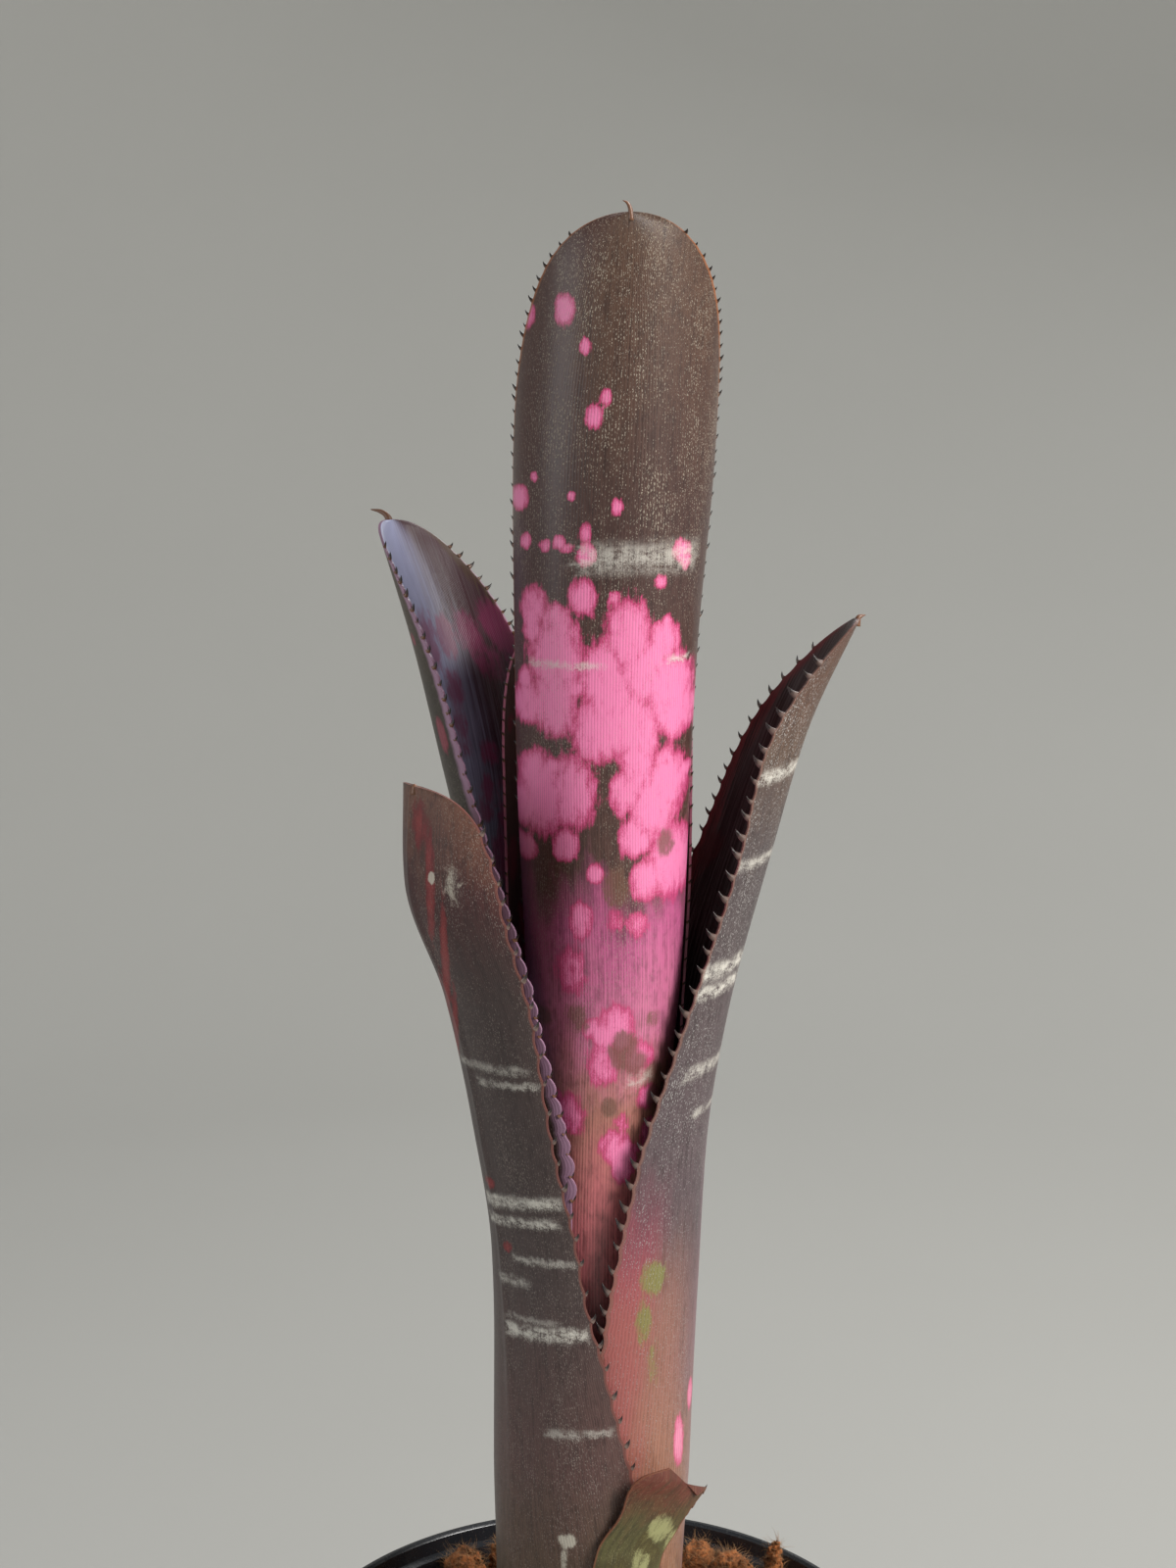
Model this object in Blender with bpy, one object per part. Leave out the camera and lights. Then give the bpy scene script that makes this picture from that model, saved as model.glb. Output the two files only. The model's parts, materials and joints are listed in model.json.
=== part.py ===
"""A tubular bromeliad standing in a black plastic nursery pot filled with coconut husk.

Metres, +Z up. The origin is the centre of the pot's underside, and the front is towards -Y.
Each leaf is a closed sheath wrapped round the one before it: its cross-section at any height
is an arc, and the arcs share one centre at the soil line and lean apart higher up.
"""

import math
import random
from collections import namedtuple

import bmesh
import bpy

MM = 0.001
CLEARANCE = 0.3 * MM  # between pieces that touch

# The pot: a tapered wall, a rim whose skirt hangs outside it, and a base with a raised channel.
POT_HEIGHT = 115 * MM
RIM_DIAMETER = 130 * MM
BASE_DIAMETER = 95 * MM
POT_WALL = 1.2 * MM
SKIRT_HEIGHT = 10 * MM
SKIRT_GAP = 1.2 * MM  # between the skirt and the wall
LIP_DEPTH = 4 * MM  # from the rim's top to the ledge inside it
LEDGE_WIDTH = 1.6 * MM
EDGE_ROUND = 0.6 * MM
FOOT_WIDTH = 5 * MM
PAD_DIAMETER = 44 * MM  # the flat centre that the pot also stands on
CHANNEL_RISE = 2.5 * MM
HOLE_COUNT = 8
HOLE_DIAMETER = 9 * MM
POT_SEGMENTS = 60

# The mix of husk that fills it, and how far its surface lies below the rim.
SOIL_DROP = 12 * MM
MIX_RINGS = 4
MIX_SEGMENTS = 30
MIX_LUMPS = 0.9 * MM

# The sheaths. Each one wraps the one inside it, so its radius is counted from the inmost.
CORE_RADIUS = 14.4 * MM
LEAF_THICKNESS = 1.1 * MM
DRY_LEAF_THICKNESS = 0.8 * MM
MARGIN_THICKNESS = 0.5 * MM
LEAF_GAP = 0.4 * MM
SHEATH_DEPTH = 4 * MM  # how far the inmost leaf starts below the soil line
SHEATH_STEP = 1.2 * MM  # each leaf further out starts this much lower on the stem
FACET_ANGLE = 16  # degrees of arc in one facet

# The short stem under the sheaths.
COLLAR_DEPTH = 3 * MM
STEM_RADIUS = 12 * MM
STEM_TAPER = 12 * MM
STEM_LENGTH = 28 * MM
WELL_GAP = 0.6 * MM

# A station is a height as a share of the leaf's length, the arc's centre in x and y and its
# growth in radius in mm, the direction that the arc faces and half its angle in degrees, and
# how far its far end stands above its near end, in mm.
Station = namedtuple("Station", "share lean_x lean_y flare heading half_angle rise", defaults=[0])

# The tip closes in a curve from the shoulder, a share of the length, up to the end.
Leaf = namedtuple("Leaf", "name length shoulder bluntness thickness color stations")

# From the inmost leaf outwards.
LEAVES = [
    Leaf("leaf_centre", 312.5 * MM, 0.84, 0.5, LEAF_THICKNESS, (0.35, 0.12, 0.15), [
        Station(0.00, 0.0, 0.0, 0.0, 283, 150),
        Station(0.19, 0.2, 0.0, 0.1, 283, 140),
        Station(0.35, 0.6, 0.0, 0.1, 281, 122),
        Station(0.45, 1.6, 0.0, 0.5, 278, 106),
        Station(0.53, 2.4, 0.0, 1.5, 276, 97),
        Station(0.61, 2.3, 0.0, 2.5, 274, 93),
        Station(0.735, 2.9, 0.0, 3.8, 272, 90),
        Station(0.865, 4.6, 0.0, 5.4, 271, 87),
        Station(1.00, 7.0, 0.0, 5.6, 271, 84),
    ]),
    Leaf("leaf_back", 236 * MM, 0.87, 0.5, LEAF_THICKNESS, (0.30, 0.07, 0.10), [
        Station(0.00, 0.0, 0.0, 0.0, 90, 140),
        Station(0.25, 0.3, 0.0, 0.1, 90, 125),
        Station(0.47, 0.5, 0.4, 0.5, 90, 108),
        Station(0.64, 1.1, 1.2, 1.7, 90, 93),
        Station(0.80, 1.2, 2.6, 3.2, 90, 88),
        Station(1.00, 1.1, 3.6, 3.7, 90, 86),
    ]),
    Leaf("leaf_back_left", 253 * MM, 0.855, 0.38, LEAF_THICKNESS, (0.20, 0.12, 0.18), [
        Station(0.00, 0.0, 0.0, 0.0, 150, 130),
        Station(0.24, 0.4, 0.0, 0.1, 154, 117),
        Station(0.415, 0.2, 0.5, 0.4, 163, 94),
        Station(0.515, -1.2, 1.0, 0.1, 174, 84),
        Station(0.61, -4.0, 3.0, -0.4, 171, 76),
        Station(0.71, -8.8, 6.5, -1.2, 158, 78),
        Station(0.81, -15.5, 11.0, -2.1, 144, 82),
        Station(0.91, -22.6, 15.5, -2.8, 142, 80),
        Station(1.00, -32.5, 21.0, -5.4, 144, 83),
    ]),
    Leaf("leaf_right", 234 * MM, 0.855, 0.45, LEAF_THICKNESS, (0.22, 0.17, 0.16), [
        Station(0.00, 0.0, 0.0, 0.0, 15, 125),
        Station(0.13, 0.1, 0.0, 0.2, 15, 120),
        Station(0.255, 0.9, 0.0, 1.0, 15, 113),
        Station(0.405, 2.0, 0.3, 1.2, 16, 105),
        Station(0.535, 4.5, 1.4, 0.3, 16, 94),
        Station(0.66, 11.2, 3.2, -1.9, 18, 84),
        Station(0.81, 22.5, 6.5, -4.1, 12, 73),
        Station(0.905, 30.7, 8.8, -5.6, 5, 77),
        Station(1.00, 43.6, 12.0, -7.9, 0, 84),
    ]),
    Leaf("leaf_front_left", 205 * MM, 0.84, 0.31, LEAF_THICKNESS, (0.16, 0.11, 0.10), [
        Station(0.00, 0.0, 0.0, 0.0, 226, 100),
        Station(0.145, 0.5, 0.0, 0.3, 225, 93),
        Station(0.29, 0.9, 0.0, 1.1, 220, 74),
        Station(0.415, 1.1, 0.0, 1.1, 216, 60),
        Station(0.51, 0.4, 0.0, 0.8, 213, 52),
        Station(0.65, -4.0, -2.0, 0.0, 210, 51),
        Station(0.78, -9.8, -5.6, -0.6, 210, 56),
        Station(0.90, -18.4, -10.5, -1.8, 210, 67),
        Station(1.00, -20.2, -11.8, -3.8, 211, 76),
    ]),
    Leaf("leaf_basal", 60.5 * MM, 0.965, 0.12, DRY_LEAF_THICKNESS, (0.13, 0.11, 0.05), [
        Station(0.00, 0.0, 0.0, 0.0, 290, 34),
        Station(0.37, 0.1, -0.1, 0.5, 289, 25),
        Station(0.65, 0.2, -0.2, 0.6, 288, 19, -2),
        Station(0.76, 0.2, -0.3, 0.7, 291, 18.5, -4),
        Station(0.87, 0.3, -0.4, 1.5, 301.5, 18, -6),
        Station(0.94, 0.3, -0.5, 2.4, 307, 20, -8),
        Station(1.00, 0.3, -0.6, 3.8, 317, 25, -9),
    ]),
]

# A lump of husk on the mix: the way it lies from the plant, how far out it is from the plant (0)
# to the pot's wall (1), its size across, outwards and up in mm, how square its corners are
# from 0 to 1, how much it narrows to its top, and how far its top leans across in mm.
Husk = namedtuple("Husk", "name angle place across outwards up square narrow lean", defaults=[0.1, 0])

HUSKS = [
    Husk("husk_block_left", 124, 0.95, 9, 12, 13, 0.75),
    Husk("husk_wad_left", 113, 0.90, 8.5, 11, 13.5, 0.3),
    Husk("husk_chip_back", 96, 0.30, 13, 10, 6, 0.6),
    Husk("husk_chip_back_right", 63, 1.00, 8, 9, 12.5, 0.5),
    Husk("husk_lump_right", 50, 0.85, 13, 12, 16, 0.2),
    Husk("husk_tuft_right", 36, 0.80, 8, 7, 25.5, 0.2, 0.55, 2.5),
    Husk("husk_chip_right", 8, 0.55, 12, 16, 7, 0.7),
    Husk("husk_chip_front_right", 336, 0.80, 16, 9, 6, 0.6),
    Husk("husk_curl_front", 308, 0.55, 10, 14, 5, 0.4),
    Husk("husk_chip_front", 283, 0.98, 15, 8, 6.5, 0.7),
    Husk("husk_chip_front_left", 233, 0.70, 12, 17, 8, 0.7),
    Husk("husk_curl_left", 207, 0.35, 9, 11, 4.5, 0.4),
    Husk("husk_lump_left", 183, 0.85, 14, 13, 9, 0.3),
    Husk("husk_chip_back_left", 152, 0.50, 15, 10, 6, 0.6),
]
HUSK_ROUGHNESS = 0.07  # random change in the distance of each corner from the middle
HUSK_SINK = 0.45  # share of the half height that is cut off flat underneath


def clear_scene():
    for obj in list(bpy.data.objects):
        bpy.data.objects.remove(obj)


def material(name, color, roughness):
    made = bpy.data.materials.new(name)
    made.use_nodes = True
    shader = made.node_tree.nodes["Principled BSDF"]
    shader.inputs["Base Color"].default_value = (*color, 1)
    shader.inputs["Roughness"].default_value = roughness
    shader.inputs["Metallic"].default_value = 0
    return made


def object_from(name, bm, finish):
    mesh = bpy.data.meshes.new(name)
    bm.to_mesh(mesh)
    bm.free()
    mesh.materials.append(finish)
    mesh.shade_smooth()
    mesh.set_sharp_from_angle(angle=math.radians(35))
    obj = bpy.data.objects.new(name, mesh)
    bpy.context.scene.collection.objects.link(obj)
    return obj


def turned(profile, segments):
    """A solid of revolution whose profile starts and ends on the axis."""
    bm = bmesh.new()
    points = [bm.verts.new((radius, 0, height)) for radius, height in profile]
    edges = [bm.edges.new(pair) for pair in zip(points, points[1:])]
    full = 2 * math.pi
    bmesh.ops.spin(bm, geom=points + edges, axis=(0, 0, 1), angle=full, steps=segments)
    bmesh.ops.remove_doubles(bm, verts=bm.verts, dist=0.001 * MM)
    bmesh.ops.recalc_face_normals(bm, faces=bm.faces)
    return bm


# Sizes that several pieces share.
rim_radius = RIM_DIAMETER / 2
base_radius = BASE_DIAMETER / 2
ledge_height = POT_HEIGHT - LIP_DEPTH
ledge_radius = rim_radius - POT_WALL - SKIRT_GAP - POT_WALL  # the wall's inside at the ledge
floor_height = CHANNEL_RISE + POT_WALL
soil_height = POT_HEIGHT - SOIL_DROP
stem_top = soil_height - SHEATH_DEPTH


def inner_radius(height):
    """The inside of the pot's wall below the ledge."""
    share = height / ledge_height
    return base_radius - POT_WALL + share * (ledge_radius - base_radius + POT_WALL)


def wrap_radius(order):
    """The outer radius of a sheath at the soil line, counted from the inmost."""
    return CORE_RADIUS + order * (LEAF_THICKNESS + LEAF_GAP)


def sheath_base(order):
    return stem_top - order * SHEATH_STEP


collar_radius = wrap_radius(len(LEAVES) - 1)
collar_top = sheath_base(len(LEAVES) - 1) - CLEARANCE
well_radius = collar_radius + WELL_GAP


def build_pot():
    skirt_inner = rim_radius - POT_WALL
    lip_inner = ledge_radius + LEDGE_WIDTH
    under_lip = ledge_height - POT_WALL
    channel_outer = base_radius - FOOT_WIDTH
    pad_radius = PAD_DIAMETER / 2
    profile = [
        (0, 0),
        (pad_radius, 0),
        (pad_radius + POT_WALL, CHANNEL_RISE),
        (channel_outer - POT_WALL, CHANNEL_RISE),
        (channel_outer, 0),
        (base_radius - EDGE_ROUND, 0),
        (base_radius, EDGE_ROUND),
        (inner_radius(under_lip) + POT_WALL, under_lip),
        (skirt_inner, under_lip),
        (skirt_inner - POT_WALL / 3, POT_HEIGHT - SKIRT_HEIGHT),
        (rim_radius - POT_WALL / 3, POT_HEIGHT - SKIRT_HEIGHT),
        (rim_radius, POT_HEIGHT - EDGE_ROUND),
        (rim_radius - EDGE_ROUND, POT_HEIGHT),
        (lip_inner + EDGE_ROUND, POT_HEIGHT),
        (lip_inner, POT_HEIGHT - EDGE_ROUND),
        (lip_inner, ledge_height),
        (inner_radius(ledge_height - EDGE_ROUND), ledge_height - EDGE_ROUND),
        (inner_radius(floor_height), floor_height),
        (0, floor_height),
    ]
    finish = material("black_pot_plastic", (0.012, 0.013, 0.015), 0.32)
    pot = object_from("pot", turned(profile, POT_SEGMENTS), finish)
    hole_ring = (pad_radius + channel_outer) / 2
    drill = bmesh.new()
    for index in range(HOLE_COUNT):
        angle = 2 * math.pi * index / HOLE_COUNT
        made = bmesh.ops.create_cone(
            drill, cap_ends=True, segments=16, depth=4 * floor_height,
            radius1=HOLE_DIAMETER / 2, radius2=HOLE_DIAMETER / 2,
        )
        place = (hole_ring * math.cos(angle), hole_ring * math.sin(angle), 0)
        bmesh.ops.translate(drill, verts=made["verts"], vec=place)
    cutter = object_from("drain_hole_cutter", drill, finish)
    cutter.hide_render = True
    cutter.display_type = "WIRE"
    cut = pot.modifiers.new("drain holes", "BOOLEAN")
    cut.operation = "DIFFERENCE"
    cut.object = cutter


def stem_outline():
    """The stem's outline under the lowest sheath, from its widest point down to the axis."""
    taper_top = collar_top - COLLAR_DEPTH
    taper_end = taper_top - STEM_TAPER
    return [
        (collar_radius, taper_top),
        (STEM_RADIUS, taper_end),
        (STEM_RADIUS, stem_top - STEM_LENGTH - SHEATH_STEP * len(LEAVES)),
    ]


def lump_height(x, y):
    """The unevenness of the mix's surface: three long waves that cross."""
    waves = math.sin(x / (9 * MM)) + math.sin(y / (11 * MM) + 1) + math.sin((x - y) / (13 * MM))
    return MIX_LUMPS * waves / 3


def build_mix():
    wall = inner_radius(soil_height) - CLEARANCE
    outline = stem_outline()
    foot = outline[-1]
    bottom = floor_height + CLEARANCE
    profile = [(0, bottom), (inner_radius(bottom) - CLEARANCE, bottom), (wall, soil_height)]
    for ring in range(1, MIX_RINGS + 1):
        radius = wall + (well_radius - wall) * ring / MIX_RINGS
        profile.append((radius, soil_height))
    for radius, height in outline:
        profile.append((radius + WELL_GAP, height - WELL_GAP))
    profile.append((0, foot[1] - WELL_GAP))
    bm = turned(profile, MIX_SEGMENTS)
    for vert in bm.verts:
        if vert.co.z > soil_height - CLEARANCE:
            vert.co.z += lump_height(vert.co.x, vert.co.y)
    object_from("potting_mix", bm, material("husk_mix", (0.10, 0.045, 0.02), 0.95))


def build_rootstock():
    """A stem with a step for each sheath: the sheath's foot rests on it, round its riser."""
    profile = [(0, stem_top)]
    for order, leaf in enumerate(LEAVES):
        riser = wrap_radius(order) - leaf.thickness - LEAF_GAP
        above = stem_top if order == 0 else sheath_base(order - 1) - CLEARANCE
        profile.append((riser, above))
        profile.append((riser, sheath_base(order) - CLEARANCE))
    profile.append((collar_radius, collar_top))
    profile += stem_outline()
    profile.append((0, profile[-1][1]))
    finish = material("pale_stem", (0.35, 0.28, 0.16), 0.8)
    object_from("rootstock", turned(profile[::-1], MIX_SEGMENTS), finish)


def smooth_value(places, values, at):
    """A value read from a smooth curve through the stations that never overshoots them."""
    steps = [right - left for left, right in zip(places, places[1:])]
    slopes = [(b - a) / step for a, b, step in zip(values, values[1:], steps)]
    tangents = [slopes[0]]
    for before, after in zip(slopes, slopes[1:]):
        same_way = before * after > 0
        tangents.append(2 * before * after / (before + after) if same_way else 0)
    tangents.append(slopes[-1])
    index = 0
    while index < len(steps) - 1 and at > places[index + 1]:
        index += 1
    step = steps[index]
    part = (at - places[index]) / step
    start = values[index] * (1 + 2 * part) + tangents[index] * step * part
    end = values[index + 1] * (3 - 2 * part) + tangents[index + 1] * step * (part - 1)
    return start * (1 - part) ** 2 + end * part ** 2


def leaf_section(leaf, order, height):
    """The arc of a leaf at a height above the soil line: centre, radius, heading, half angle, rise."""
    share = max(height / leaf.length, 0)
    shares = [station.share for station in leaf.stations]
    read = [
        smooth_value(shares, [station[field] for station in leaf.stations], share)
        for field in range(1, len(Station._fields))
    ]
    lean_x, lean_y, flare, heading, half_angle, rise = read
    closing = max(share - leaf.shoulder, 0) / (1 - leaf.shoulder)
    half_angle *= (1 - closing ** 2) ** leaf.bluntness
    radius = wrap_radius(order) + flare * MM
    centre = (lean_x * MM, lean_y * MM)
    return centre, radius, math.radians(heading), math.radians(half_angle), rise * MM


def leaf_heights(leaf, order):
    """Heights above the soil line for the rings: closer together where the tip closes."""
    foot = sheath_base(order) - soil_height
    shoulder = leaf.shoulder * leaf.length
    rise_count = max(3, round(shoulder / (24 * MM)))
    rising = [foot + (shoulder - foot) * ring / rise_count for ring in range(rise_count)]
    closing = [0.0, 0.45, 0.7, 0.86, 0.95, 0.985, 0.999]
    return rising + [shoulder + (leaf.length - shoulder) * part for part in closing]


def build_leaf(leaf, order):
    bm = bmesh.new()
    widest = max(station.half_angle for station in leaf.stations)
    columns = max(4, math.ceil(2 * widest / FACET_ANGLE))
    rings = []
    for height in leaf_heights(leaf, order):
        centre, radius, heading, half_angle, rise = leaf_section(leaf, order, height)
        outer = []
        inner = []
        for column in range(columns + 1):
            side = 2 * column / columns - 1
            angle = heading + side * half_angle
            body = math.sqrt(1 - side ** 4)
            thickness = MARGIN_THICKNESS + (leaf.thickness - MARGIN_THICKNESS) * body
            level = soil_height + height + side * rise / 2
            for depth, row in ((0, outer), (thickness, inner)):
                x = centre[0] + (radius - depth) * math.cos(angle)
                y = centre[1] + (radius - depth) * math.sin(angle)
                row.append(bm.verts.new((x, y, level)))
        rings.append(outer + inner[::-1])
    count = len(rings[0])
    for below, above in zip(rings, rings[1:]):
        for index in range(count):
            after = (index + 1) % count
            bm.faces.new((below[index], below[after], above[after], above[index]))
    for ring in (rings[0], rings[-1]):
        for column in range(columns):
            pair = (ring[column], ring[column + 1], ring[-2 - column], ring[-1 - column])
            bm.faces.new(pair)
    bmesh.ops.recalc_face_normals(bm, faces=bm.faces)
    object_from(leaf.name, bm, material(leaf.name, leaf.color, 0.5))


def build_husk(husk, seed):
    """A lump of husk: a ball pushed towards a box, roughened, and cut flat underneath."""
    spread = random.Random(seed)
    bm = bmesh.new()
    bmesh.ops.create_icosphere(bm, subdivisions=2, radius=1)
    half_out = husk.outwards * MM / 2
    nearest = well_radius + WELL_GAP + half_out
    farthest = inner_radius(soil_height) - 2 * CLEARANCE - half_out
    distance = nearest + husk.place * (farthest - nearest)
    turn = math.radians(husk.angle)
    level = soil_height + MIX_LUMPS + CLEARANCE
    height = husk.up * MM - MIX_LUMPS - CLEARANCE
    corner = 1 - 0.6 * husk.square
    for vert in bm.verts:
        grown = [math.copysign(abs(part) ** corner, part) for part in vert.co]
        reach = max(1, *(abs(part) for part in grown)) * (1 + HUSK_ROUGHNESS)
        change = spread.uniform(1 - HUSK_ROUGHNESS, 1 + HUSK_ROUGHNESS)
        across, out, up = (part * change / reach for part in grown)
        top_share = (max(up, -HUSK_SINK) + HUSK_SINK) / (1 + HUSK_SINK)
        width = 1 - husk.narrow * top_share
        side = across * width * husk.across * MM / 2 + husk.lean * MM * top_share ** 2
        away = distance + out * width * half_out
        vert.co.x = away * math.cos(turn) + side * math.sin(turn)
        vert.co.y = away * math.sin(turn) - side * math.cos(turn)
        vert.co.z = level + top_share * height
    object_from(husk.name, bm, material(husk.name, (0.22, 0.09, 0.035), 0.9))


clear_scene()
build_pot()
build_mix()
build_rootstock()
for leaf_order, each_leaf in enumerate(LEAVES):
    build_leaf(each_leaf, leaf_order)
for husk_seed, each_husk in enumerate(HUSKS):
    build_husk(each_husk, husk_seed)
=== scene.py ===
"""A tube-shaped bromeliad in a black nursery pot of coconut husk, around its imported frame.

Metres, +Z up, the origin at the centre of the pot's underside, the viewer on the -Y side.
"""

import json
import math
import random
from collections import namedtuple

import bmesh
import bpy
import numpy as np
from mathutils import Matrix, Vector, noise

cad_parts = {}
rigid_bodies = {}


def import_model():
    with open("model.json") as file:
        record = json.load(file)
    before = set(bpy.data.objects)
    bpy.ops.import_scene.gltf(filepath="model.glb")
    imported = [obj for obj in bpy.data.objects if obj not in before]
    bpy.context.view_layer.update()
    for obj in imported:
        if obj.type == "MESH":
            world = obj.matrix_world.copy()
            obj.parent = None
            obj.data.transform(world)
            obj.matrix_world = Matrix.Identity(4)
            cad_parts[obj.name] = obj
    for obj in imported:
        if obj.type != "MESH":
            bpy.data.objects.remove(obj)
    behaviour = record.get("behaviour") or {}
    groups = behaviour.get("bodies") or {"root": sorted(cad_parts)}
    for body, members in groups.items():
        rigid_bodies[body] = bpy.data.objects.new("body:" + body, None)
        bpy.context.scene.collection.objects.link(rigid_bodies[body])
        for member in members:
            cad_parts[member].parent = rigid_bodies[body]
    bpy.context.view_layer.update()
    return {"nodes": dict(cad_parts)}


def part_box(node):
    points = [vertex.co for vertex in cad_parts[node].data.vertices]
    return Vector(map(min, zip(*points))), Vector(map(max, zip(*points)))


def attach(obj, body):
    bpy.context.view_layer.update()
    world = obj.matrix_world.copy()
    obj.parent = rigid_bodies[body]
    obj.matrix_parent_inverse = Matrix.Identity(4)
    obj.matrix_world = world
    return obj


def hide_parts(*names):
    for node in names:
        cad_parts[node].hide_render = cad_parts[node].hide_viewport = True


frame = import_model()
MM = 0.001


# ---- The pot ---------------------------------------------------------------------------------
# One injection moulding of black polypropylene: a tapered wall, a rim that turns over into a
# hanging skirt with a ledge inside it, and a base whose raised channel holds the drain holes.

POT_WALL = 1.2 * MM
BASE_RADIUS = 47.5 * MM
SKIRT_HEIGHT = 10 * MM
SKIRT_GAP = 1.2 * MM
LIP_DEPTH = 4 * MM
LEDGE_WIDTH = 1.6 * MM
EDGE_ROUND = 0.6 * MM
FOOT_WIDTH = 5 * MM
PAD_RADIUS = 22 * MM
CHANNEL_RISE = 2.5 * MM
HOLE_COUNT = 8
HOLE_RADIUS = 4.5 * MM
POT_STEPS = 168
POT_BLACK = (0.011, 0.0125, 0.0155)
POT_DUST = (0.085, 0.08, 0.07)

pot_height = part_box("pot")[1][2]
rim_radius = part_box("pot")[1][0]
ledge_height = pot_height - LIP_DEPTH
ledge_radius = rim_radius - POT_WALL - SKIRT_GAP - POT_WALL


class Wire:
    """A socket that can be reckoned with: an expression on wires adds its Math nodes."""

    def __init__(self, finish, socket):
        self.finish = finish
        self.socket = socket

    def math(self, operation, *values):
        inputs = {index: value for index, value in enumerate(values)}
        return self.finish.add("ShaderNodeMath", {"operation": operation}, inputs)

    def __add__(self, other):
        return self.math("ADD", self, other)

    def __sub__(self, other):
        return self.math("SUBTRACT", self, other)

    def __mul__(self, other):
        return self.math("MULTIPLY", self, other)

    def __truediv__(self, other):
        return self.math("DIVIDE", self, other)

    def __rsub__(self, other):
        return self.math("SUBTRACT", other, self)

    def __abs__(self):
        return self.math("ABSOLUTE", self)

    __radd__ = __add__
    __rmul__ = __mul__

    def most(self, other):
        return self.math("MAXIMUM", self, other)

    def power(self, exponent):
        return self.math("POWER", self, exponent)

    def sine(self):
        return self.math("SINE", self)

    def between(self, low, high, start=0.0, end=1.0):
        """Goes smoothly from start to end as the value goes from low to high."""
        settings = {"interpolation_type": "SMOOTHSTEP"}
        inputs = {0: self, 1: low, 2: high, 3: start, 4: end}
        return self.finish.add("ShaderNodeMapRange", settings, inputs)


class Finish:
    """A material, with one way to add a node to it and short names for the common ones."""

    def __init__(self, name, **constants):
        self.material = bpy.data.materials.new(name)
        self.material.use_nodes = True
        self.tree = self.material.node_tree
        self.shader = self.tree.nodes["Principled BSDF"]
        for socket, value in constants.items():
            self.shader.inputs[socket.replace("_", " ")].default_value = value

    def add(self, kind, settings, inputs, output=0):
        node = self.tree.nodes.new(kind)
        for setting, value in settings.items():
            if setting == "stops":
                self.set_stops(node.color_ramp, value)
            else:
                setattr(node, setting, value)
        for key, value in inputs.items():
            self.feed(node.inputs[key], value)
        return Wire(self, node.outputs[output])

    def set_stops(self, ramp, stops):
        while len(ramp.elements) < len(stops):
            ramp.elements.new(0.5)
        for element, (place, color) in zip(ramp.elements, stops):
            element.position = place
            element.color = (*color, 1)

    def feed(self, socket, value):
        if isinstance(value, Wire):
            self.tree.links.new(value.socket, socket)
        elif socket.type == "RGBA":
            socket.default_value = (*value, 1)
        else:
            socket.default_value = value

    def object_place(self):
        return self.add("ShaderNodeTexCoord", {}, {}, "Object")

    def value_of(self, attribute):
        return self.add("ShaderNodeAttribute", {"attribute_name": attribute}, {}, "Fac")

    def joined(self, x, y, z=0.0):
        return self.add("ShaderNodeCombineXYZ", {}, {0: x, 1: y, 2: z})

    def stretched(self, vector, scale):
        return self.add("ShaderNodeVectorMath", {"operation": "MULTIPLY"}, {0: vector, 1: scale})

    def grain(self, vector, scale, detail=2.0, roughness=0.5, distortion=0.0):
        inputs = {"Vector": vector, "Scale": scale, "Detail": detail}
        inputs.update({"Roughness": roughness, "Distortion": distortion})
        return self.add("ShaderNodeTexNoise", {}, inputs, "Fac")

    def cells(self, vector, scale):
        inputs = {"Vector": vector, "Scale": scale}
        return self.add("ShaderNodeTexVoronoi", {}, inputs, "Distance")

    def blend(self, share, first, second):
        settings = {"data_type": "RGBA", "clamp_factor": True}
        return self.add("ShaderNodeMix", settings, {0: share, 6: first, 7: second}, 2)

    def ramp(self, value, stops):
        return self.add("ShaderNodeValToRGB", {"stops": stops}, {0: value})

    def bump(self, height, distance, strength=1.0):
        inputs = {"Height": height, "Distance": distance, "Strength": strength}
        return self.add("ShaderNodeBump", {}, inputs)

    def done(self, **sockets):
        for socket, value in sockets.items():
            self.feed(self.shader.inputs[socket.replace("_", " ")], value)
        return self.material


def show(obj, slot, *nodes):
    """Puts a finished piece in the scene, on the one body, in place of the nodes it stands for."""
    if obj.name not in bpy.context.scene.collection.objects:
        bpy.context.scene.collection.objects.link(obj)
    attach(obj, "root")
    if nodes:
        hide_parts(*nodes)


def evaluated_copy(obj, name):
    """A plain mesh of what the object's modifiers make, in a new object of its own."""
    bpy.context.view_layer.update()
    graph = bpy.context.evaluated_depsgraph_get()
    mesh = bpy.data.meshes.new_from_object(obj.evaluated_get(graph), depsgraph=graph)
    made = bpy.data.objects.new(name, mesh)
    bpy.data.objects.remove(obj)
    return made


def object_from(name, bm):
    """The built mesh as an object in the scene."""
    mesh = bpy.data.meshes.new(name)
    bm.to_mesh(mesh)
    bm.free()
    obj = bpy.data.objects.new(name, mesh)
    bpy.context.scene.collection.objects.link(obj)
    return obj


def lathe(name, profile, steps, merge=0.001 * MM):
    """A shape turned from a profile that starts on the axis, its seam merged."""
    bm = bmesh.new()
    points = [bm.verts.new((radius, 0, height)) for radius, height in profile]
    edges = [bm.edges.new(pair) for pair in zip(points, points[1:])]
    bmesh.ops.spin(bm, geom=points + edges, axis=(0, 0, 1), angle=2 * math.pi, steps=steps)
    bmesh.ops.remove_doubles(bm, verts=bm.verts, dist=merge)
    bmesh.ops.recalc_face_normals(bm, faces=bm.faces)
    return object_from(name, bm)


def inner_radius(height):
    """The inside of the pot's wall below the ledge."""
    foot = BASE_RADIUS - POT_WALL
    return foot + (ledge_radius - foot) * height / ledge_height


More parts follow.
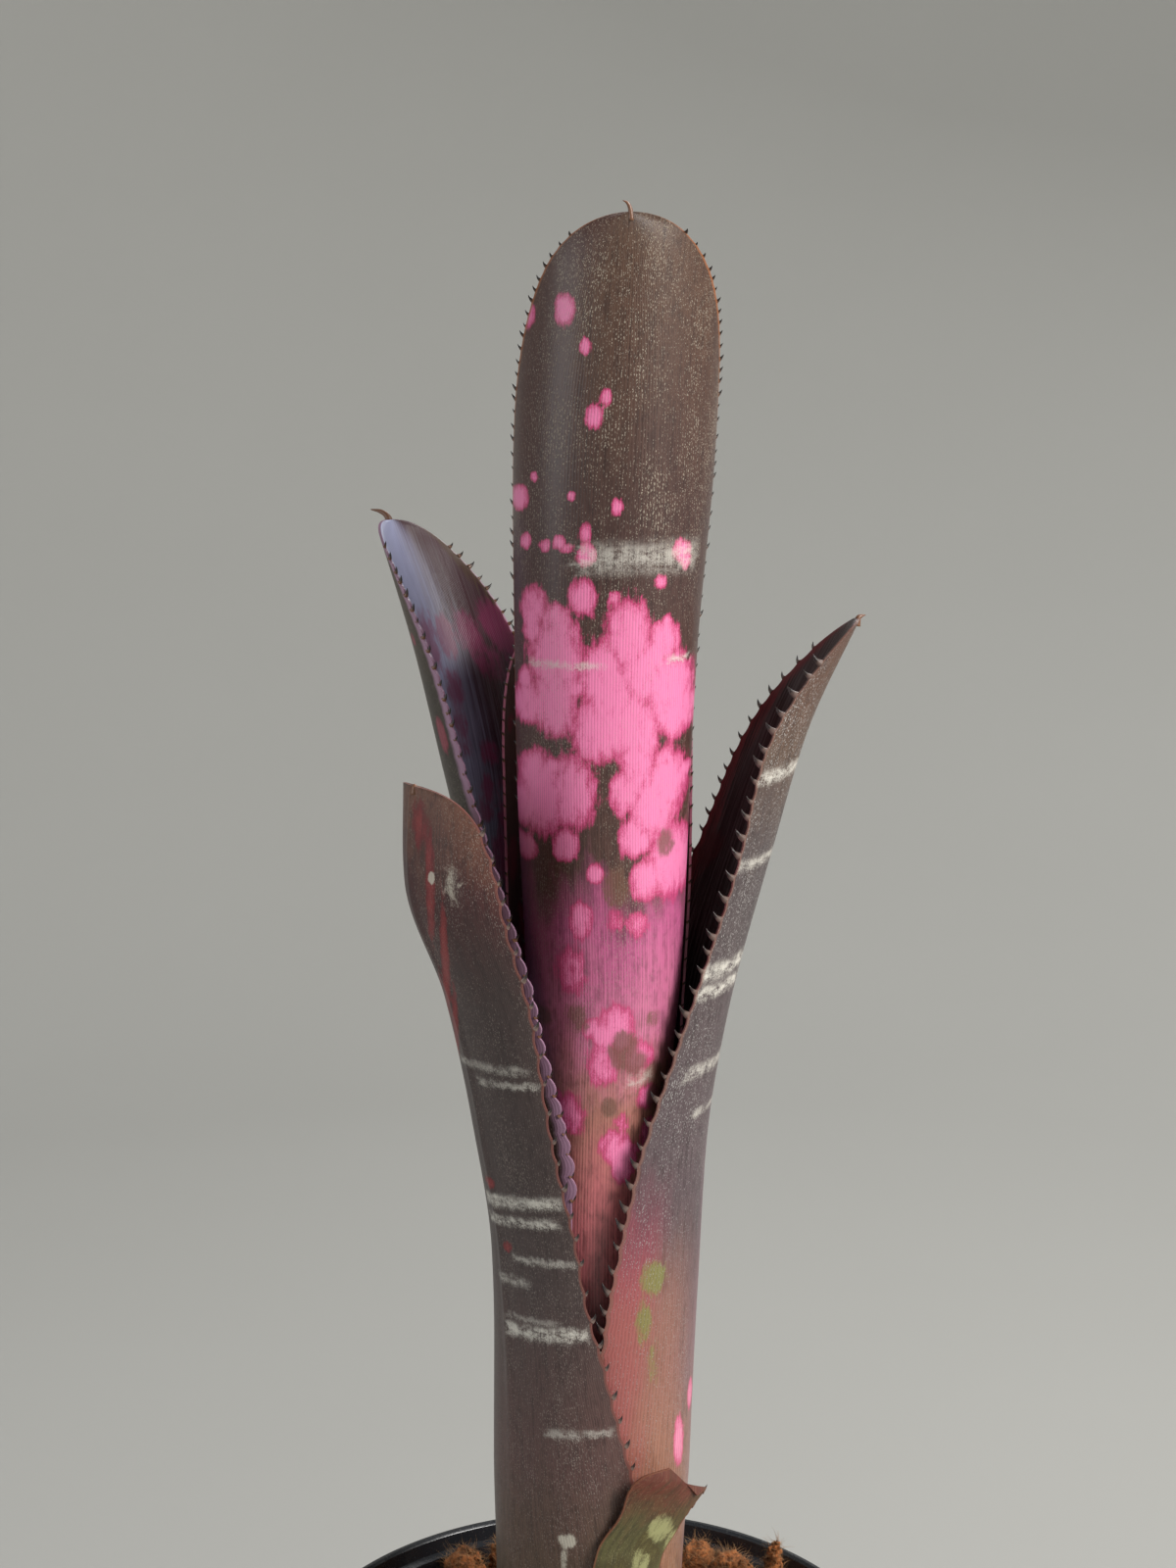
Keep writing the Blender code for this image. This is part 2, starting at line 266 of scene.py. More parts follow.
def pot_profile():
    lip_inner = ledge_radius + LEDGE_WIDTH
    under_lip = ledge_height - POT_WALL
    skirt_inner = rim_radius - POT_WALL
    channel_outer = BASE_RADIUS - FOOT_WIDTH
    floor = CHANNEL_RISE + POT_WALL
    return [
        (0, 0),
        (PAD_RADIUS, 0),
        (PAD_RADIUS + POT_WALL, CHANNEL_RISE),
        (channel_outer - POT_WALL, CHANNEL_RISE),
        (channel_outer, 0),
        (BASE_RADIUS - EDGE_ROUND, 0),
        (BASE_RADIUS, EDGE_ROUND),
        (inner_radius(under_lip) + POT_WALL, under_lip),
        (skirt_inner, under_lip),
        (skirt_inner - POT_WALL / 3, pot_height - SKIRT_HEIGHT),
        (rim_radius - POT_WALL / 3, pot_height - SKIRT_HEIGHT),
        (rim_radius, pot_height - EDGE_ROUND),
        (rim_radius - EDGE_ROUND, pot_height),
        (lip_inner + EDGE_ROUND, pot_height),
        (lip_inner, pot_height - EDGE_ROUND),
        (lip_inner, ledge_height),
        (inner_radius(ledge_height - EDGE_ROUND), ledge_height - EDGE_ROUND),
        (inner_radius(floor), floor),
        (0, floor),
    ]


def drain_hole_cutter():
    bm = bmesh.new()
    ring = (PAD_RADIUS + BASE_RADIUS - FOOT_WIDTH) / 2
    for index in range(HOLE_COUNT):
        angle = 2 * math.pi * index / HOLE_COUNT
        made = bmesh.ops.create_cone(
            bm, cap_ends=True, segments=32, depth=16 * MM, radius1=HOLE_RADIUS, radius2=HOLE_RADIUS,
        )
        place = (ring * math.cos(angle), ring * math.sin(angle), 0)
        bmesh.ops.translate(bm, verts=made["verts"], vec=place)
    return object_from("drain_hole_cutter", bm)


def black_pot_plastic():
    """Gloss black, with a faint orange-peel skin, dry water marks and dust that gathers in them."""
    finish = Finish("black_pot_plastic", Coat_Weight=0.15, Coat_Roughness=0.2, IOR=1.49)
    place = finish.object_place()
    marks = finish.grain(place, 55, 4, 0.6, 0.4)
    drips = finish.grain(finish.stretched(place, (1, 1, 0.12)), 160, 3)
    dust = (marks * 0.6 + drips * 0.4).between(0.5, 0.68)
    speck = finish.grain(place, 1400, 2).between(0.62, 0.72)
    peel = finish.grain(place, 900, 2)
    return finish.done(
        Base_Color=finish.blend(dust * 0.22 + speck * 0.15, POT_BLACK, POT_DUST),
        Roughness=0.24 + dust * 0.2 + speck * 0.15,
        Normal=finish.bump(peel * 0.5 + marks, 0.08 * MM, 0.6),
    )


pot_turned = lathe("pot_turned", pot_profile(), POT_STEPS)
hole_cutter = drain_hole_cutter()
holes = pot_turned.modifiers.new("drain holes", "BOOLEAN")
holes.operation = "DIFFERENCE"
holes.object = hole_cutter
softened = pot_turned.modifiers.new("moulded edges", "BEVEL")
softened.width = 0.25 * MM
softened.segments = 2
softened.limit_method = "ANGLE"
softened.angle_limit = math.radians(28)
pot = evaluated_copy(pot_turned, "nursery_pot")
bpy.data.objects.remove(hole_cutter)
pot.data.shade_smooth()
pot.data.set_sharp_from_angle(angle=math.radians(40))
pot.data.materials.clear()
pot.data.materials.append(black_pot_plastic())
show(pot, "pot_plastic", "pot")


# ---- The potting mix -------------------------------------------------------------------------
# Chopped coconut husk, damp and dark underneath: a lumpy bed with crumbs and short fibres lying
# loose all over it, packed round the plant's foot.

SOIL_DROP = 12 * MM
WELL_RADIUS = 22.5 * MM
WELL_DEPTH = 16 * MM
BED_RINGS = 44
BED_STEPS = 176
MIDDLE_RADIUS = 0.2 * MM  # where the bed's flat ends close round the axis
TOUCH_GAP = 0.3 * MM  # between the bed and the pot
CRUMB_DENSITY = 230000
FIBRE_DENSITY = 120000
MIX_DARK = (0.022, 0.010, 0.005)
MIX_BROWN = (0.13, 0.052, 0.020)
HUSK_ORANGE = (0.40, 0.135, 0.038)
HUSK_PALE = (0.52, 0.30, 0.14)

soil_height = pot_height - SOIL_DROP


def bed_height(x, y):
    """The bed's surface: lumps the size of a chip, broken up by crumbs."""
    lumps = noise.noise(Vector((x / (14 * MM), y / (14 * MM), 3.1)))
    crumbs = noise.noise(Vector((x / (3.2 * MM), y / (3.2 * MM), 7.7)))
    grit = noise.noise(Vector((x / (1.1 * MM), y / (1.1 * MM), 1.9)))
    return soil_height + (1.1 * lumps + 0.8 * crumbs + 0.35 * grit) * MM


def bed_ring(bm, radius, height_at):
    """One ring of the bed's points, with the height read at each."""
    ring = []
    for step in range(BED_STEPS):
        angle = 2 * math.pi * step / BED_STEPS
        x = radius * math.cos(angle)
        y = radius * math.sin(angle)
        ring.append(bm.verts.new((x, y, height_at(x, y))))
    return ring


def mix_bed():
    """The bed as a closed solid: the well for the plant, the uneven top, and the pot's inside."""
    bm = bmesh.new()
    outer = inner_radius(soil_height) - TOUCH_GAP
    floor = CHANNEL_RISE + POT_WALL + TOUCH_GAP
    well_floor = soil_height - WELL_DEPTH
    rings = []
    for ring in range(BED_RINGS + 1):
        radius = WELL_RADIUS + (outer - WELL_RADIUS) * ring / BED_RINGS
        rings.append(bed_ring(bm, radius, bed_height))
    for radius in (inner_radius(floor) - TOUCH_GAP, MIDDLE_RADIUS):
        rings.append(bed_ring(bm, radius, lambda x, y: floor))
    for radius in (WELL_RADIUS, MIDDLE_RADIUS):
        rings.insert(0, bed_ring(bm, radius, lambda x, y: well_floor))
    for inside, outside in zip(rings, rings[1:]):
        for step in range(BED_STEPS):
            after = (step + 1) % BED_STEPS
            bm.faces.new((inside[step], outside[step], outside[after], inside[after]))
    bm.faces.new(rings[0])
    bm.faces.new(rings[-1][::-1])
    bmesh.ops.recalc_face_normals(bm, faces=bm.faces)
    made = object_from("husk_bed", bm)
    made.data.shade_smooth()
    return made


def husk_stuff(name, dark, light, streak=1.0, shade_from=None):
    """Coconut husk: corky brown with paler fibre running through it and damp dark hollows."""
    finish = Finish(name, IOR=1.4)
    place = finish.object_place()
    fibre = finish.grain(finish.stretched(place, (1, 1, 0.25 if streak else 1)), 900, 4, 0.65, 0.6)
    patch = finish.grain(place, 130, 3, 0.6)
    share = (fibre * 0.55 + patch * 0.45).between(0.36, 0.62)
    if shade_from:
        share = share * 0.55 + finish.value_of(shade_from) * 0.45
    deep = finish.grain(place, 420, 3, 0.7).between(0.5, 0.36)
    colour = finish.blend(share, dark, light)
    colour = finish.blend(deep * 0.6, colour, MIX_DARK)
    return finish.done(
        Base_Color=colour,
        Roughness=0.92 - share * 0.15,
        Normal=finish.bump(fibre + deep * -0.8, 0.35 * MM, 0.9),
    )


class Recipe:
    """A Geometry Nodes tree in the making, with named inputs and one way to add a node."""

    def __init__(self, name):
        self.tree = bpy.data.node_groups.new(name, "GeometryNodeTree")
        self.tree.interface.new_socket("Geometry", in_out="INPUT", socket_type="NodeSocketGeometry")
        self.tree.interface.new_socket("Geometry", in_out="OUTPUT", socket_type="NodeSocketGeometry")
        self.start = self.tree.nodes.new("NodeGroupInput")
        self.end = self.tree.nodes.new("NodeGroupOutput")
        self.names = {}

    def input(self, name, kind, default):
        socket = self.tree.interface.new_socket(name, in_out="INPUT", socket_type=kind)
        socket.default_value = default
        self.names[name] = socket.identifier
        return self.start.outputs[name]

    def add(self, kind, settings, inputs, output=0):
        node = self.tree.nodes.new(kind)
        for setting, value in settings.items():
            setattr(node, setting, value)
        for key, value in inputs.items():
            if isinstance(value, bpy.types.NodeSocket):
                self.tree.links.new(value, node.inputs[key])
            else:
                node.inputs[key].default_value = value
        return node.outputs[output]

    def finish_with(self, geometry, material):
        real = self.add("GeometryNodeRealizeInstances", {}, {"Geometry": geometry})
        inputs = {"Geometry": real, "Material": material}
        coated = self.add("GeometryNodeSetMaterial", {}, inputs)
        self.tree.links.new(coated, self.end.inputs[0])

    def apply_to(self, obj, name, **values):
        """Runs the recipe on an object and returns the plain mesh that it makes."""
        modifier = obj.modifiers.new("recipe", "NODES")
        modifier.node_group = self.tree
        for key, value in values.items():
            modifier[self.names[key]] = value
        return evaluated_copy(obj, name)


def tapered_thread(recipe, length, width, bend, sides=4, points=6):
    """A thread that rises along +Z, bends over to +X and thins out to its end."""
    middle = recipe.add("ShaderNodeCombineXYZ", {}, {2: recipe.add(
        "ShaderNodeMath", {"operation": "MULTIPLY"}, {0: length, 1: 0.55})})
    end = recipe.add("ShaderNodeCombineXYZ", {}, {0: bend, 2: length})
    inputs = {"Resolution": points, "Start": (0, 0, 0), "Middle": middle, "End": end}
    path = recipe.add("GeometryNodeCurveQuadraticBezier", {}, inputs)
    reach = recipe.add("GeometryNodeSplineParameter", {}, {})
    thin = recipe.add("ShaderNodeMapRange", {}, {0: reach, 1: 0.0, 2: 1.0, 3: 1.0, 4: 0.06})
    radius = recipe.add("ShaderNodeMath", {"operation": "MULTIPLY"}, {0: thin, 1: width})
    stored = recipe.add(
        "GeometryNodeStoreNamedAttribute", {"data_type": "FLOAT", "domain": "POINT"},
        {"Geometry": path, "Name": "reach", "Value": reach},
    )
    ring = recipe.add("GeometryNodeCurvePrimitiveCircle", {}, {"Resolution": sides, "Radius": 1.0})
    inputs = {"Curve": stored, "Profile Curve": ring, "Scale": radius, "Fill Caps": True}
    return recipe.add("GeometryNodeCurveToMesh", {}, inputs)


def scatter(recipe, piece, density, seed, spread, small, large):
    """Strews a piece over the input's faces, each turned and sized at random, with its own shade."""
    inputs = {"Mesh": recipe.start.outputs[0], "Density": density, "Seed": seed}
    node_points = recipe.add("GeometryNodeDistributePointsOnFaces", {}, inputs)
    turn = recipe.add(
        "FunctionNodeRandomValue", {"data_type": "FLOAT_VECTOR"},
        {0: tuple(-part for part in spread), 1: spread, "Seed": 3},
    )
    size = recipe.add(
        "FunctionNodeRandomValue", {"data_type": "FLOAT_VECTOR"},
        {0: (small,) * 3, 1: (large,) * 3, "Seed": 5},
    )
    inputs = {"Points": node_points, "Instance": piece, "Rotation": turn, "Scale": size}
    placed = recipe.add("GeometryNodeInstanceOnPoints", {}, inputs)
    shade = recipe.add("FunctionNodeRandomValue", {"data_type": "FLOAT"}, {"Seed": 11}, 1)
    return recipe.add(
        "GeometryNodeStoreNamedAttribute", {"data_type": "FLOAT", "domain": "INSTANCE"},
        {"Geometry": placed, "Name": "shade", "Value": shade},
    )


def bed_surface(name, reach):
    """Just the bed's upper skin out to a radius, for things to be strewn on."""
    bm = bmesh.new()
    bm.from_mesh(bed.data)
    middles = [(face, face.calc_center_median()) for face in bm.faces]
    away = [face for face, at in middles if at.z < soil_height - 2.5 * MM or at.xy.length > reach]
    bmesh.ops.delete(bm, geom=away, context="FACES")
    return object_from(name, bm)


bed = mix_bed()
bed.data.materials.append(husk_stuff("damp_husk", MIX_DARK, MIX_BROWN, 0))
show(bed, "husk_mix", "potting_mix")

CRUMB_REACH = 58 * MM
FIBRE_REACH = 55.5 * MM

crumb_recipe = Recipe("strewn_crumbs")
crumb_size = crumb_recipe.input("Crumb Size", "NodeSocketFloat", 0.9 * MM)
crumb = crumb_recipe.add("GeometryNodeMeshIcoSphere", {}, {"Radius": crumb_size, "Subdivisions": 1})
crumb_uneven = crumb_recipe.add("ShaderNodeTexNoise", {}, {"Scale": 1400.0}, "Color")
crumb_shift = crumb_recipe.add(
    "ShaderNodeVectorMath", {"operation": "MULTIPLY_ADD"},
    {0: crumb_uneven, 1: (1.5 * MM,) * 3, 2: (-0.75 * MM,) * 3},
)
crumb = crumb_recipe.add("GeometryNodeSetPosition", {}, {"Geometry": crumb, "Offset": crumb_shift})
crumb_recipe.finish_with(
    scatter(crumb_recipe, crumb, CRUMB_DENSITY, 4, (3.1, 3.1, 3.1), 0.35, 1.5),
    husk_stuff("husk_crumb", MIX_BROWN, HUSK_ORANGE, 0, "shade"),
)
crumbs = crumb_recipe.apply_to(bed_surface("crumb_ground", CRUMB_REACH), "husk_crumbs")
show(crumbs, "husk_mix")

fibre_recipe = Recipe("strewn_fibres")
fibre_length = fibre_recipe.input("Fibre Length", "NodeSocketFloat", 6 * MM)
fibre = tapered_thread(fibre_recipe, fibre_length, 0.16 * MM, 2.5 * MM)
fibre_recipe.finish_with(
    scatter(fibre_recipe, fibre, FIBRE_DENSITY, 9, (1.55, 1.55, 3.1), 0.4, 1.3),
    husk_stuff("husk_fibre", MIX_BROWN, HUSK_PALE, 0, "shade"),
)
fibres = fibre_recipe.apply_to(bed_surface("fibre_ground", FIBRE_REACH), "husk_fibres")
show(fibres, "husk_mix")


# ---- The lumps of husk -----------------------------------------------------------------------
# Larger chips, wads and curls of the same husk, lying on the bed where they fell. Each is corky
# and laminated, with its fibres frayed out along one direction.

CHIP_VOXEL = 0.34 * MM
CHIP_ROUGHNESS = 0.9 * MM
CHIP_FIBRES = 1500000
LAYER_PITCH = 1.7 * MM


def refined_copy(node):
    """A fine mesh of a lump, merged from its plain solid and cut up evenly."""
    bm = bmesh.new()
    bm.from_mesh(bpy.data.objects[node].data)
    bmesh.ops.remove_doubles(bm, verts=bm.verts, dist=0.01 * MM)
    bmesh.ops.dissolve_limit(bm, angle_limit=math.radians(1), verts=bm.verts, edges=bm.edges)
    bmesh.ops.triangulate(bm, faces=bm.faces)
    obj = object_from(node + "_detailed", bm)
    fine = obj.modifiers.new("fine", "REMESH")
    fine.mode = "VOXEL"
    fine.voxel_size = CHIP_VOXEL
    return evaluated_copy(obj, node + "_detailed")


def fray(mesh, number):
    """Roughens a lump: layers along its grain, pits, and a ragged skin."""
    turn = 2.4 * number
    grain_x = Vector((math.cos(turn), math.sin(turn), 0.3 * math.sin(3 * turn))).normalized()
    grain_z = grain_x.orthogonal().normalized()
    grain_y = grain_z.cross(grain_x)
    base = min(vert.co.z for vert in mesh.vertices)
    for vert in mesh.vertices:
        place = vert.co
        along = place.dot(grain_x)
        wide = place.dot(grain_y)
        layer = place.dot(grain_z)
        offset = Vector((along / (5 * MM), wide / (2.2 * MM), layer / (1.6 * MM)))
        rough = noise.fractal(offset + Vector((number * 9.7, 0, 0)), 1.0, 2.0, 4)
        pits = noise.noise(place / (2.6 * MM) + Vector((0, number * 5.3, 0)))
        sheets = math.sin(layer / LAYER_PITCH * 2 * math.pi + 2 * pits)
        strand = Vector((along / (7 * MM), wide / (0.75 * MM), layer / (0.75 * MM)))
        threads = noise.noise(strand + Vector((0, 0, number * 3.1)))
        keep = min(1, (place.z - base) / (1.5 * MM))
        shift = rough * 0.8 + sheets * 0.2 + min(0, pits) * 1.2 + threads * 0.75
        vert.co = place + vert.normal * (shift * CHIP_ROUGHNESS * keep)
    mesh.shade_smooth()


chip_stuff = husk_stuff("husk_chip", MIX_BROWN, HUSK_ORANGE)
frayed_stuff = husk_stuff("husk_frayed_fibre", MIX_BROWN, HUSK_PALE, 0, "shade")
fray_recipe = Recipe("frayed_fibres")
fray_length = fray_recipe.input("Fibre Length", "NodeSocketFloat", 3.0 * MM)
frayed = tapered_thread(fray_recipe, fray_length, 0.07 * MM, 1.5 * MM, 3, 5)
fray_recipe.finish_with(
    scatter(fray_recipe, frayed, CHIP_FIBRES, 6, (1.6, 1.6, 3.1), 0.35, 1.25),
    frayed_stuff,
)
husk_nodes = sorted(name for name in frame["nodes"] if name.startswith("husk_"))
for number, node in enumerate(husk_nodes):
    chip = refined_copy(node)
    fray(chip.data, number)
    chip.data.materials.clear()
    chip.data.materials.append(chip_stuff)
    ground = bpy.data.objects.new(node + "_ground", chip.data.copy())
    bpy.context.scene.collection.objects.link(ground)
    show(chip, "husk_chips", node)
    show(fray_recipe.apply_to(ground, node + "_fibres"), "husk_chips")


# ---- Loose strands and a stick ---------------------------------------------------------------
# Long pale coir strands that worked loose from the husk, and a broken twig at the left edge.

STRAND_PALE = (0.50, 0.38, 0.24)


def swept_tube(name, route, radii, sides=8, steps=8):
    """A closed tube along a smooth curve through the route, its radius read along the way."""
    route = np.array(route, float)
    radii = np.array(radii, float)
    ends = np.vstack([2 * route[0] - route[1], route, 2 * route[-1] - route[-2]])
    points = []
    widths = []
    for index in range(1, len(ends) - 2):
        before, start, end, after = ends[index - 1:index + 3]
        for step in range(steps):
            t = step / steps
            curve = 2 * start + (end - before) * t + (2 * before - 5 * start + 4 * end - after) * t * t
            points.append((curve + (3 * start - before - 3 * end + after) * t ** 3) / 2)
            widths.append(radii[index - 1] * (1 - t) + radii[index] * t)
    points.append(route[-1])
    widths.append(radii[-1])
    bm = bmesh.new()
    rings = []
    up = Vector((0.13, 0.21, 1)).normalized()
    for index, point in enumerate(points):
        ahead = Vector(points[min(index + 1, len(points) - 1)] - points[max(index - 1, 0)]).normalized()
        up = (up - ahead * up.dot(ahead)).normalized()
        side = ahead.cross(up)
        ring = []
        for corner in range(sides):
            angle = 2 * math.pi * corner / sides
            edge = up * math.cos(angle) + side * math.sin(angle)
            ring.append(bm.verts.new(Vector(point) + edge * widths[index]))
        rings.append(ring)
    for below, above in zip(rings, rings[1:]):
        for corner in range(sides):
            after = (corner + 1) % sides
            bm.faces.new((below[corner], below[after], above[after], above[corner]))
    bm.faces.new(rings[0][::-1])
    bm.faces.new(rings[-1])
    bmesh.ops.recalc_face_normals(bm, faces=bm.faces)
    tube = object_from(name, bm)
    tube.data.shade_smooth()
    return tube


strand_stuff = husk_stuff("pale_strand", HUSK_PALE, STRAND_PALE, 0)
STRANDS = [
    (0.24, [(21, -20, 103), (22, -23, 106), (24, -27, 107), (26, -31, 104)]),
    (0.20, [(23, -25, 107), (26, -24, 109), (30, -27, 107)]),
    (0.22, [(20, -30, 103), (24, -31, 106), (30, -32, 107.5), (36, -30, 106)]),
    (0.22, [(38, -22, 104), (42, -21, 108), (46, -22, 109), (48, -25, 106)]),
    (0.18, [(41, -12, 104), (44, -13, 109), (48, -14, 110), (50, -15, 106)]),
    (0.22, [(-30, -12, 104), (-34, -16, 107), (-40, -17, 107), (-44, -15, 104)]),
    (0.18, [(-22, -26, 103), (-27, -30, 106.5), (-33, -31, 105)]),
    (0.20, [(8, 36, 103), (4, 41, 108), (-3, 43, 107), (-9, 41, 104)]),
    (0.20, [(-28, 28, 103), (-31, 33, 107), (-30, 39, 106)]),
]
for number, (width, route) in enumerate(STRANDS):
    middle = [width * MM] * (len(route) - 2)
    radii = [width * 0.8 * MM, *middle, width * 0.3 * MM]
    strand = swept_tube(f"coir_strand_{number + 1}", np.array(route) * MM, radii, 6)
    strand.data.materials.append(strand_stuff)
    show(strand, "husk_chips")

twig_route = np.array([(-46, -27, 104.5), (-42, -28, 105.4), (-38, -28.5, 105.8), (-34, -30, 106)]) * MM
twig = swept_tube("broken_twig", twig_route, np.array([1.1, 1.0, 1.05, 0.8]) * MM, 12)
twig.data.materials.append(husk_stuff("twig_bark", MIX_DARK, HUSK_ORANGE))
show(twig, "husk_chips")


# ---- The rootstock ---------------------------------------------------------------------------
# The short woody stem that the leaf bases sit on, buried in the mix.


def stem_wood():
    """Pale tan, ringed by the scars of old leaf bases, with dark corky specks."""
    finish = Finish("pale_stem_wood", IOR=1.45)
    place = finish.object_place()
    rings = finish.grain(finish.stretched(place, (0.2, 0.2, 1)), 700, 3, 0.6)
    specks = finish.grain(place, 900, 3, 0.7).between(0.55, 0.7)
    bark = finish.blend(rings.between(0.4, 0.62), (0.16, 0.085, 0.035), (0.42, 0.32, 0.18))
    return finish.done(
        Base_Color=finish.blend(specks * 0.8, bark, MIX_DARK),
        Roughness=0.8 + specks * 0.15,
        Normal=finish.bump(rings - specks, 0.3 * MM, 0.8),
    )


rootstock = bpy.data.objects["rootstock"]
rootstock.material_slots[0].link = "OBJECT"
rootstock.material_slots[0].material = stem_wood()


# ---- The centre leaf -------------------------------------------------------------------------
# The inmost and tallest leaf: a stiff sheath rolled into a tube and open behind, with a short
# spine at its tip and small dark teeth along its thin edges. Its outer face is olive brown under
# silvery scurf, blotched pink above and washed with lilac and rose lower down. Painted shade
# darkens its left side, and painted light makes a paler pink along its lower right edge.

CORE_RADIUS = 14.4 * MM
LEAF_THICKNESS = 1.1 * MM
MARGIN_THICKNESS = 0.5 * MM
LEAF_GAP = 0.4 * MM
SHEATH_DEPTH = 4 * MM
SHEATH_STEP = 1.2 * MM
ROW_PITCH = 0.9 * MM
COLUMNS = 84
WAVE = 0.2 * MM
VEINS = 96
SPOT_SPREAD = 1.15  # how far a spot's soft edge reaches past its size
FRONT_LIMIT = 6 * MM  # the side that faces forward lies in front of this y

# What shows of a leaf's build: its place in the wrap counted from the inmost, its length, where
# its tip starts to close as a share of the length, how bluntly it closes, its thickness, and its
# stations. A station is a share of the length, the arc's centre in x and y and its growth in
# radius in mm, the way it faces and half its angle in degrees, and its slant in mm.
Leaf = namedtuple("Leaf", "name order length shoulder bluntness thickness stations")

# The teeth on one edge: the edge's side, the lowest and highest tooth above the mix in mm, their
# spacing low and high, their length, how deep the edge is cut between them (below 0: it bulges),
# how far they lean to the tip, and how far they turn out from the leaf's back.
Teeth = namedtuple("Teeth", "side lowest highest wide tight length hollow lean splay")


def smooth_read(places, values, at):
    """Values from a smooth curve through the stations that never overshoots them."""
    places = np.array(places, float)
    values = np.array(values, float)
    steps = np.diff(places)
    slopes = np.diff(values) / steps
    product = slopes[:-1] * slopes[1:]
    total = np.where(product > 0, slopes[:-1] + slopes[1:], 1)
    inner = np.where(product > 0, 2 * product / total, 0)
    tangents = np.concatenate([slopes[:1], inner, slopes[-1:]])
    index = np.clip(np.searchsorted(places, at, side="left") - 1, 0, len(steps) - 1)
    step = steps[index]
    part = (at - places[index]) / step
    start = values[index] * (1 + 2 * part) + tangents[index] * step * part
    end = values[index + 1] * (3 - 2 * part) + tangents[index + 1] * step * (part - 1)
    return start * (1 - part) ** 2 + end * part ** 2


def leaf_arc(leaf, heights):
    """A leaf's cross-section at heights above the mix, as arrays of the same shape."""
    share = np.maximum(heights / leaf.length, 0)
    columns = list(zip(*[(*station, 0)[:7] for station in leaf.stations]))
    read = [smooth_read(columns[0], column, share) for column in columns[1:]]
    lean_x, lean_y, flare, heading, half_angle, rise = read
    closing = np.maximum(share - leaf.shoulder, 0) / (1 - leaf.shoulder)
    half_angle = half_angle * np.maximum(1 - closing ** 2, 0) ** leaf.bluntness
    radius = CORE_RADIUS + leaf.order * (LEAF_THICKNESS + LEAF_GAP) + flare * MM
    return lean_x * MM, lean_y * MM, radius, np.radians(heading), np.radians(half_angle), rise * MM


def tooth_heights(leaf, teeth, seed):
    """Heights of an edge's teeth, closer together towards the tip and a little uneven."""
    chance = random.Random(seed)
    heights = []
    height = teeth.lowest
    while height < teeth.highest:
        heights.append(height)
        part = (height - teeth.lowest) / (teeth.highest - teeth.lowest)
        height += (teeth.wide + (teeth.tight - teeth.wide) * part) * chance.uniform(0.78, 1.25)
    return np.array(heights) * MM


def edge_cut(leaf, heights, sets):
    """How far each edge draws back at some heights, between its teeth: left and right sides."""
    cuts = {-1: np.zeros_like(heights), 1: np.zeros_like(heights)}
    for seed, teeth in enumerate(sets):
        places = tooth_heights(leaf, teeth, seed)
        index = np.clip(np.searchsorted(places, heights) - 1, 0, len(places) - 2)
        part = (heights - places[index]) / (places[index + 1] - places[index])
        inside = (part >= 0) & (part <= 1)
        curve = 4 * part * (1 - part)
        gap = (places[index + 1] - places[index]) / (4 * MM)
        depth = np.where(inside, curve * np.minimum(gap, 1.3), 0)
        cuts[teeth.side] = cuts[teeth.side] + depth * teeth.hollow * MM
    return cuts


def leaf_points(leaf, heights, sides, depth, sets=()):
    """Points on a leaf for matching arrays of heights and sides, a depth under its outer face."""
    lean_x, lean_y, radius, heading, half_angle, rise = leaf_arc(leaf, heights)
    cuts = edge_cut(leaf, heights, sets)
    cut = np.where(sides < 0, cuts[-1], cuts[1])
    angle = heading + sides * half_angle - np.sign(sides) * np.abs(sides) ** 10 * cut / radius
    fade = np.clip((heights - 25 * MM) / (40 * MM), 0, 1)
    lengthwise = np.sin(heights / (17 * MM) + 2 * angle) * np.sin(heights / (43 * MM) + 3 * angle + 1)
    crosswise = 0.35 * np.sin(7 * angle + heights / (60 * MM))
    reach = radius - depth + fade * WAVE * (lengthwise + crosswise)
    x = lean_x + reach * np.cos(angle)
    y = lean_y + reach * np.sin(angle)
    z = soil_height + heights + sides * rise / 2
    return np.stack([x, y, z], -1)


def leaf_rows(leaf):
    """Heights above the mix for the rows of the mesh: even, then closer as the tip closes."""
    foot = -SHEATH_DEPTH - leaf.order * SHEATH_STEP
    shoulder = leaf.shoulder * leaf.length
    rising = np.arange(foot, shoulder, ROW_PITCH)
    turn = np.linspace(0, math.pi / 2, 90)[:-1]
    return np.concatenate([rising, shoulder + (leaf.length - shoulder) * np.sin(turn)])


def face_value(obj, name, values):
    """Keeps one number for each point of a leaf, for its skin to read."""
    kept = obj.data.attributes.new(name, "FLOAT", "POINT")
    kept.data.foreach_set("value", np.ascontiguousarray(values, np.float32).ravel())


def leaf_grid(leaf):
    """The height and side of each point of a leaf's mesh, closer together towards its edges."""
    even = np.linspace(-1, 1, COLUMNS + 1)
    return np.meshgrid(leaf_rows(leaf), even * (1.3 - 0.3 * even ** 2), indexing="ij")


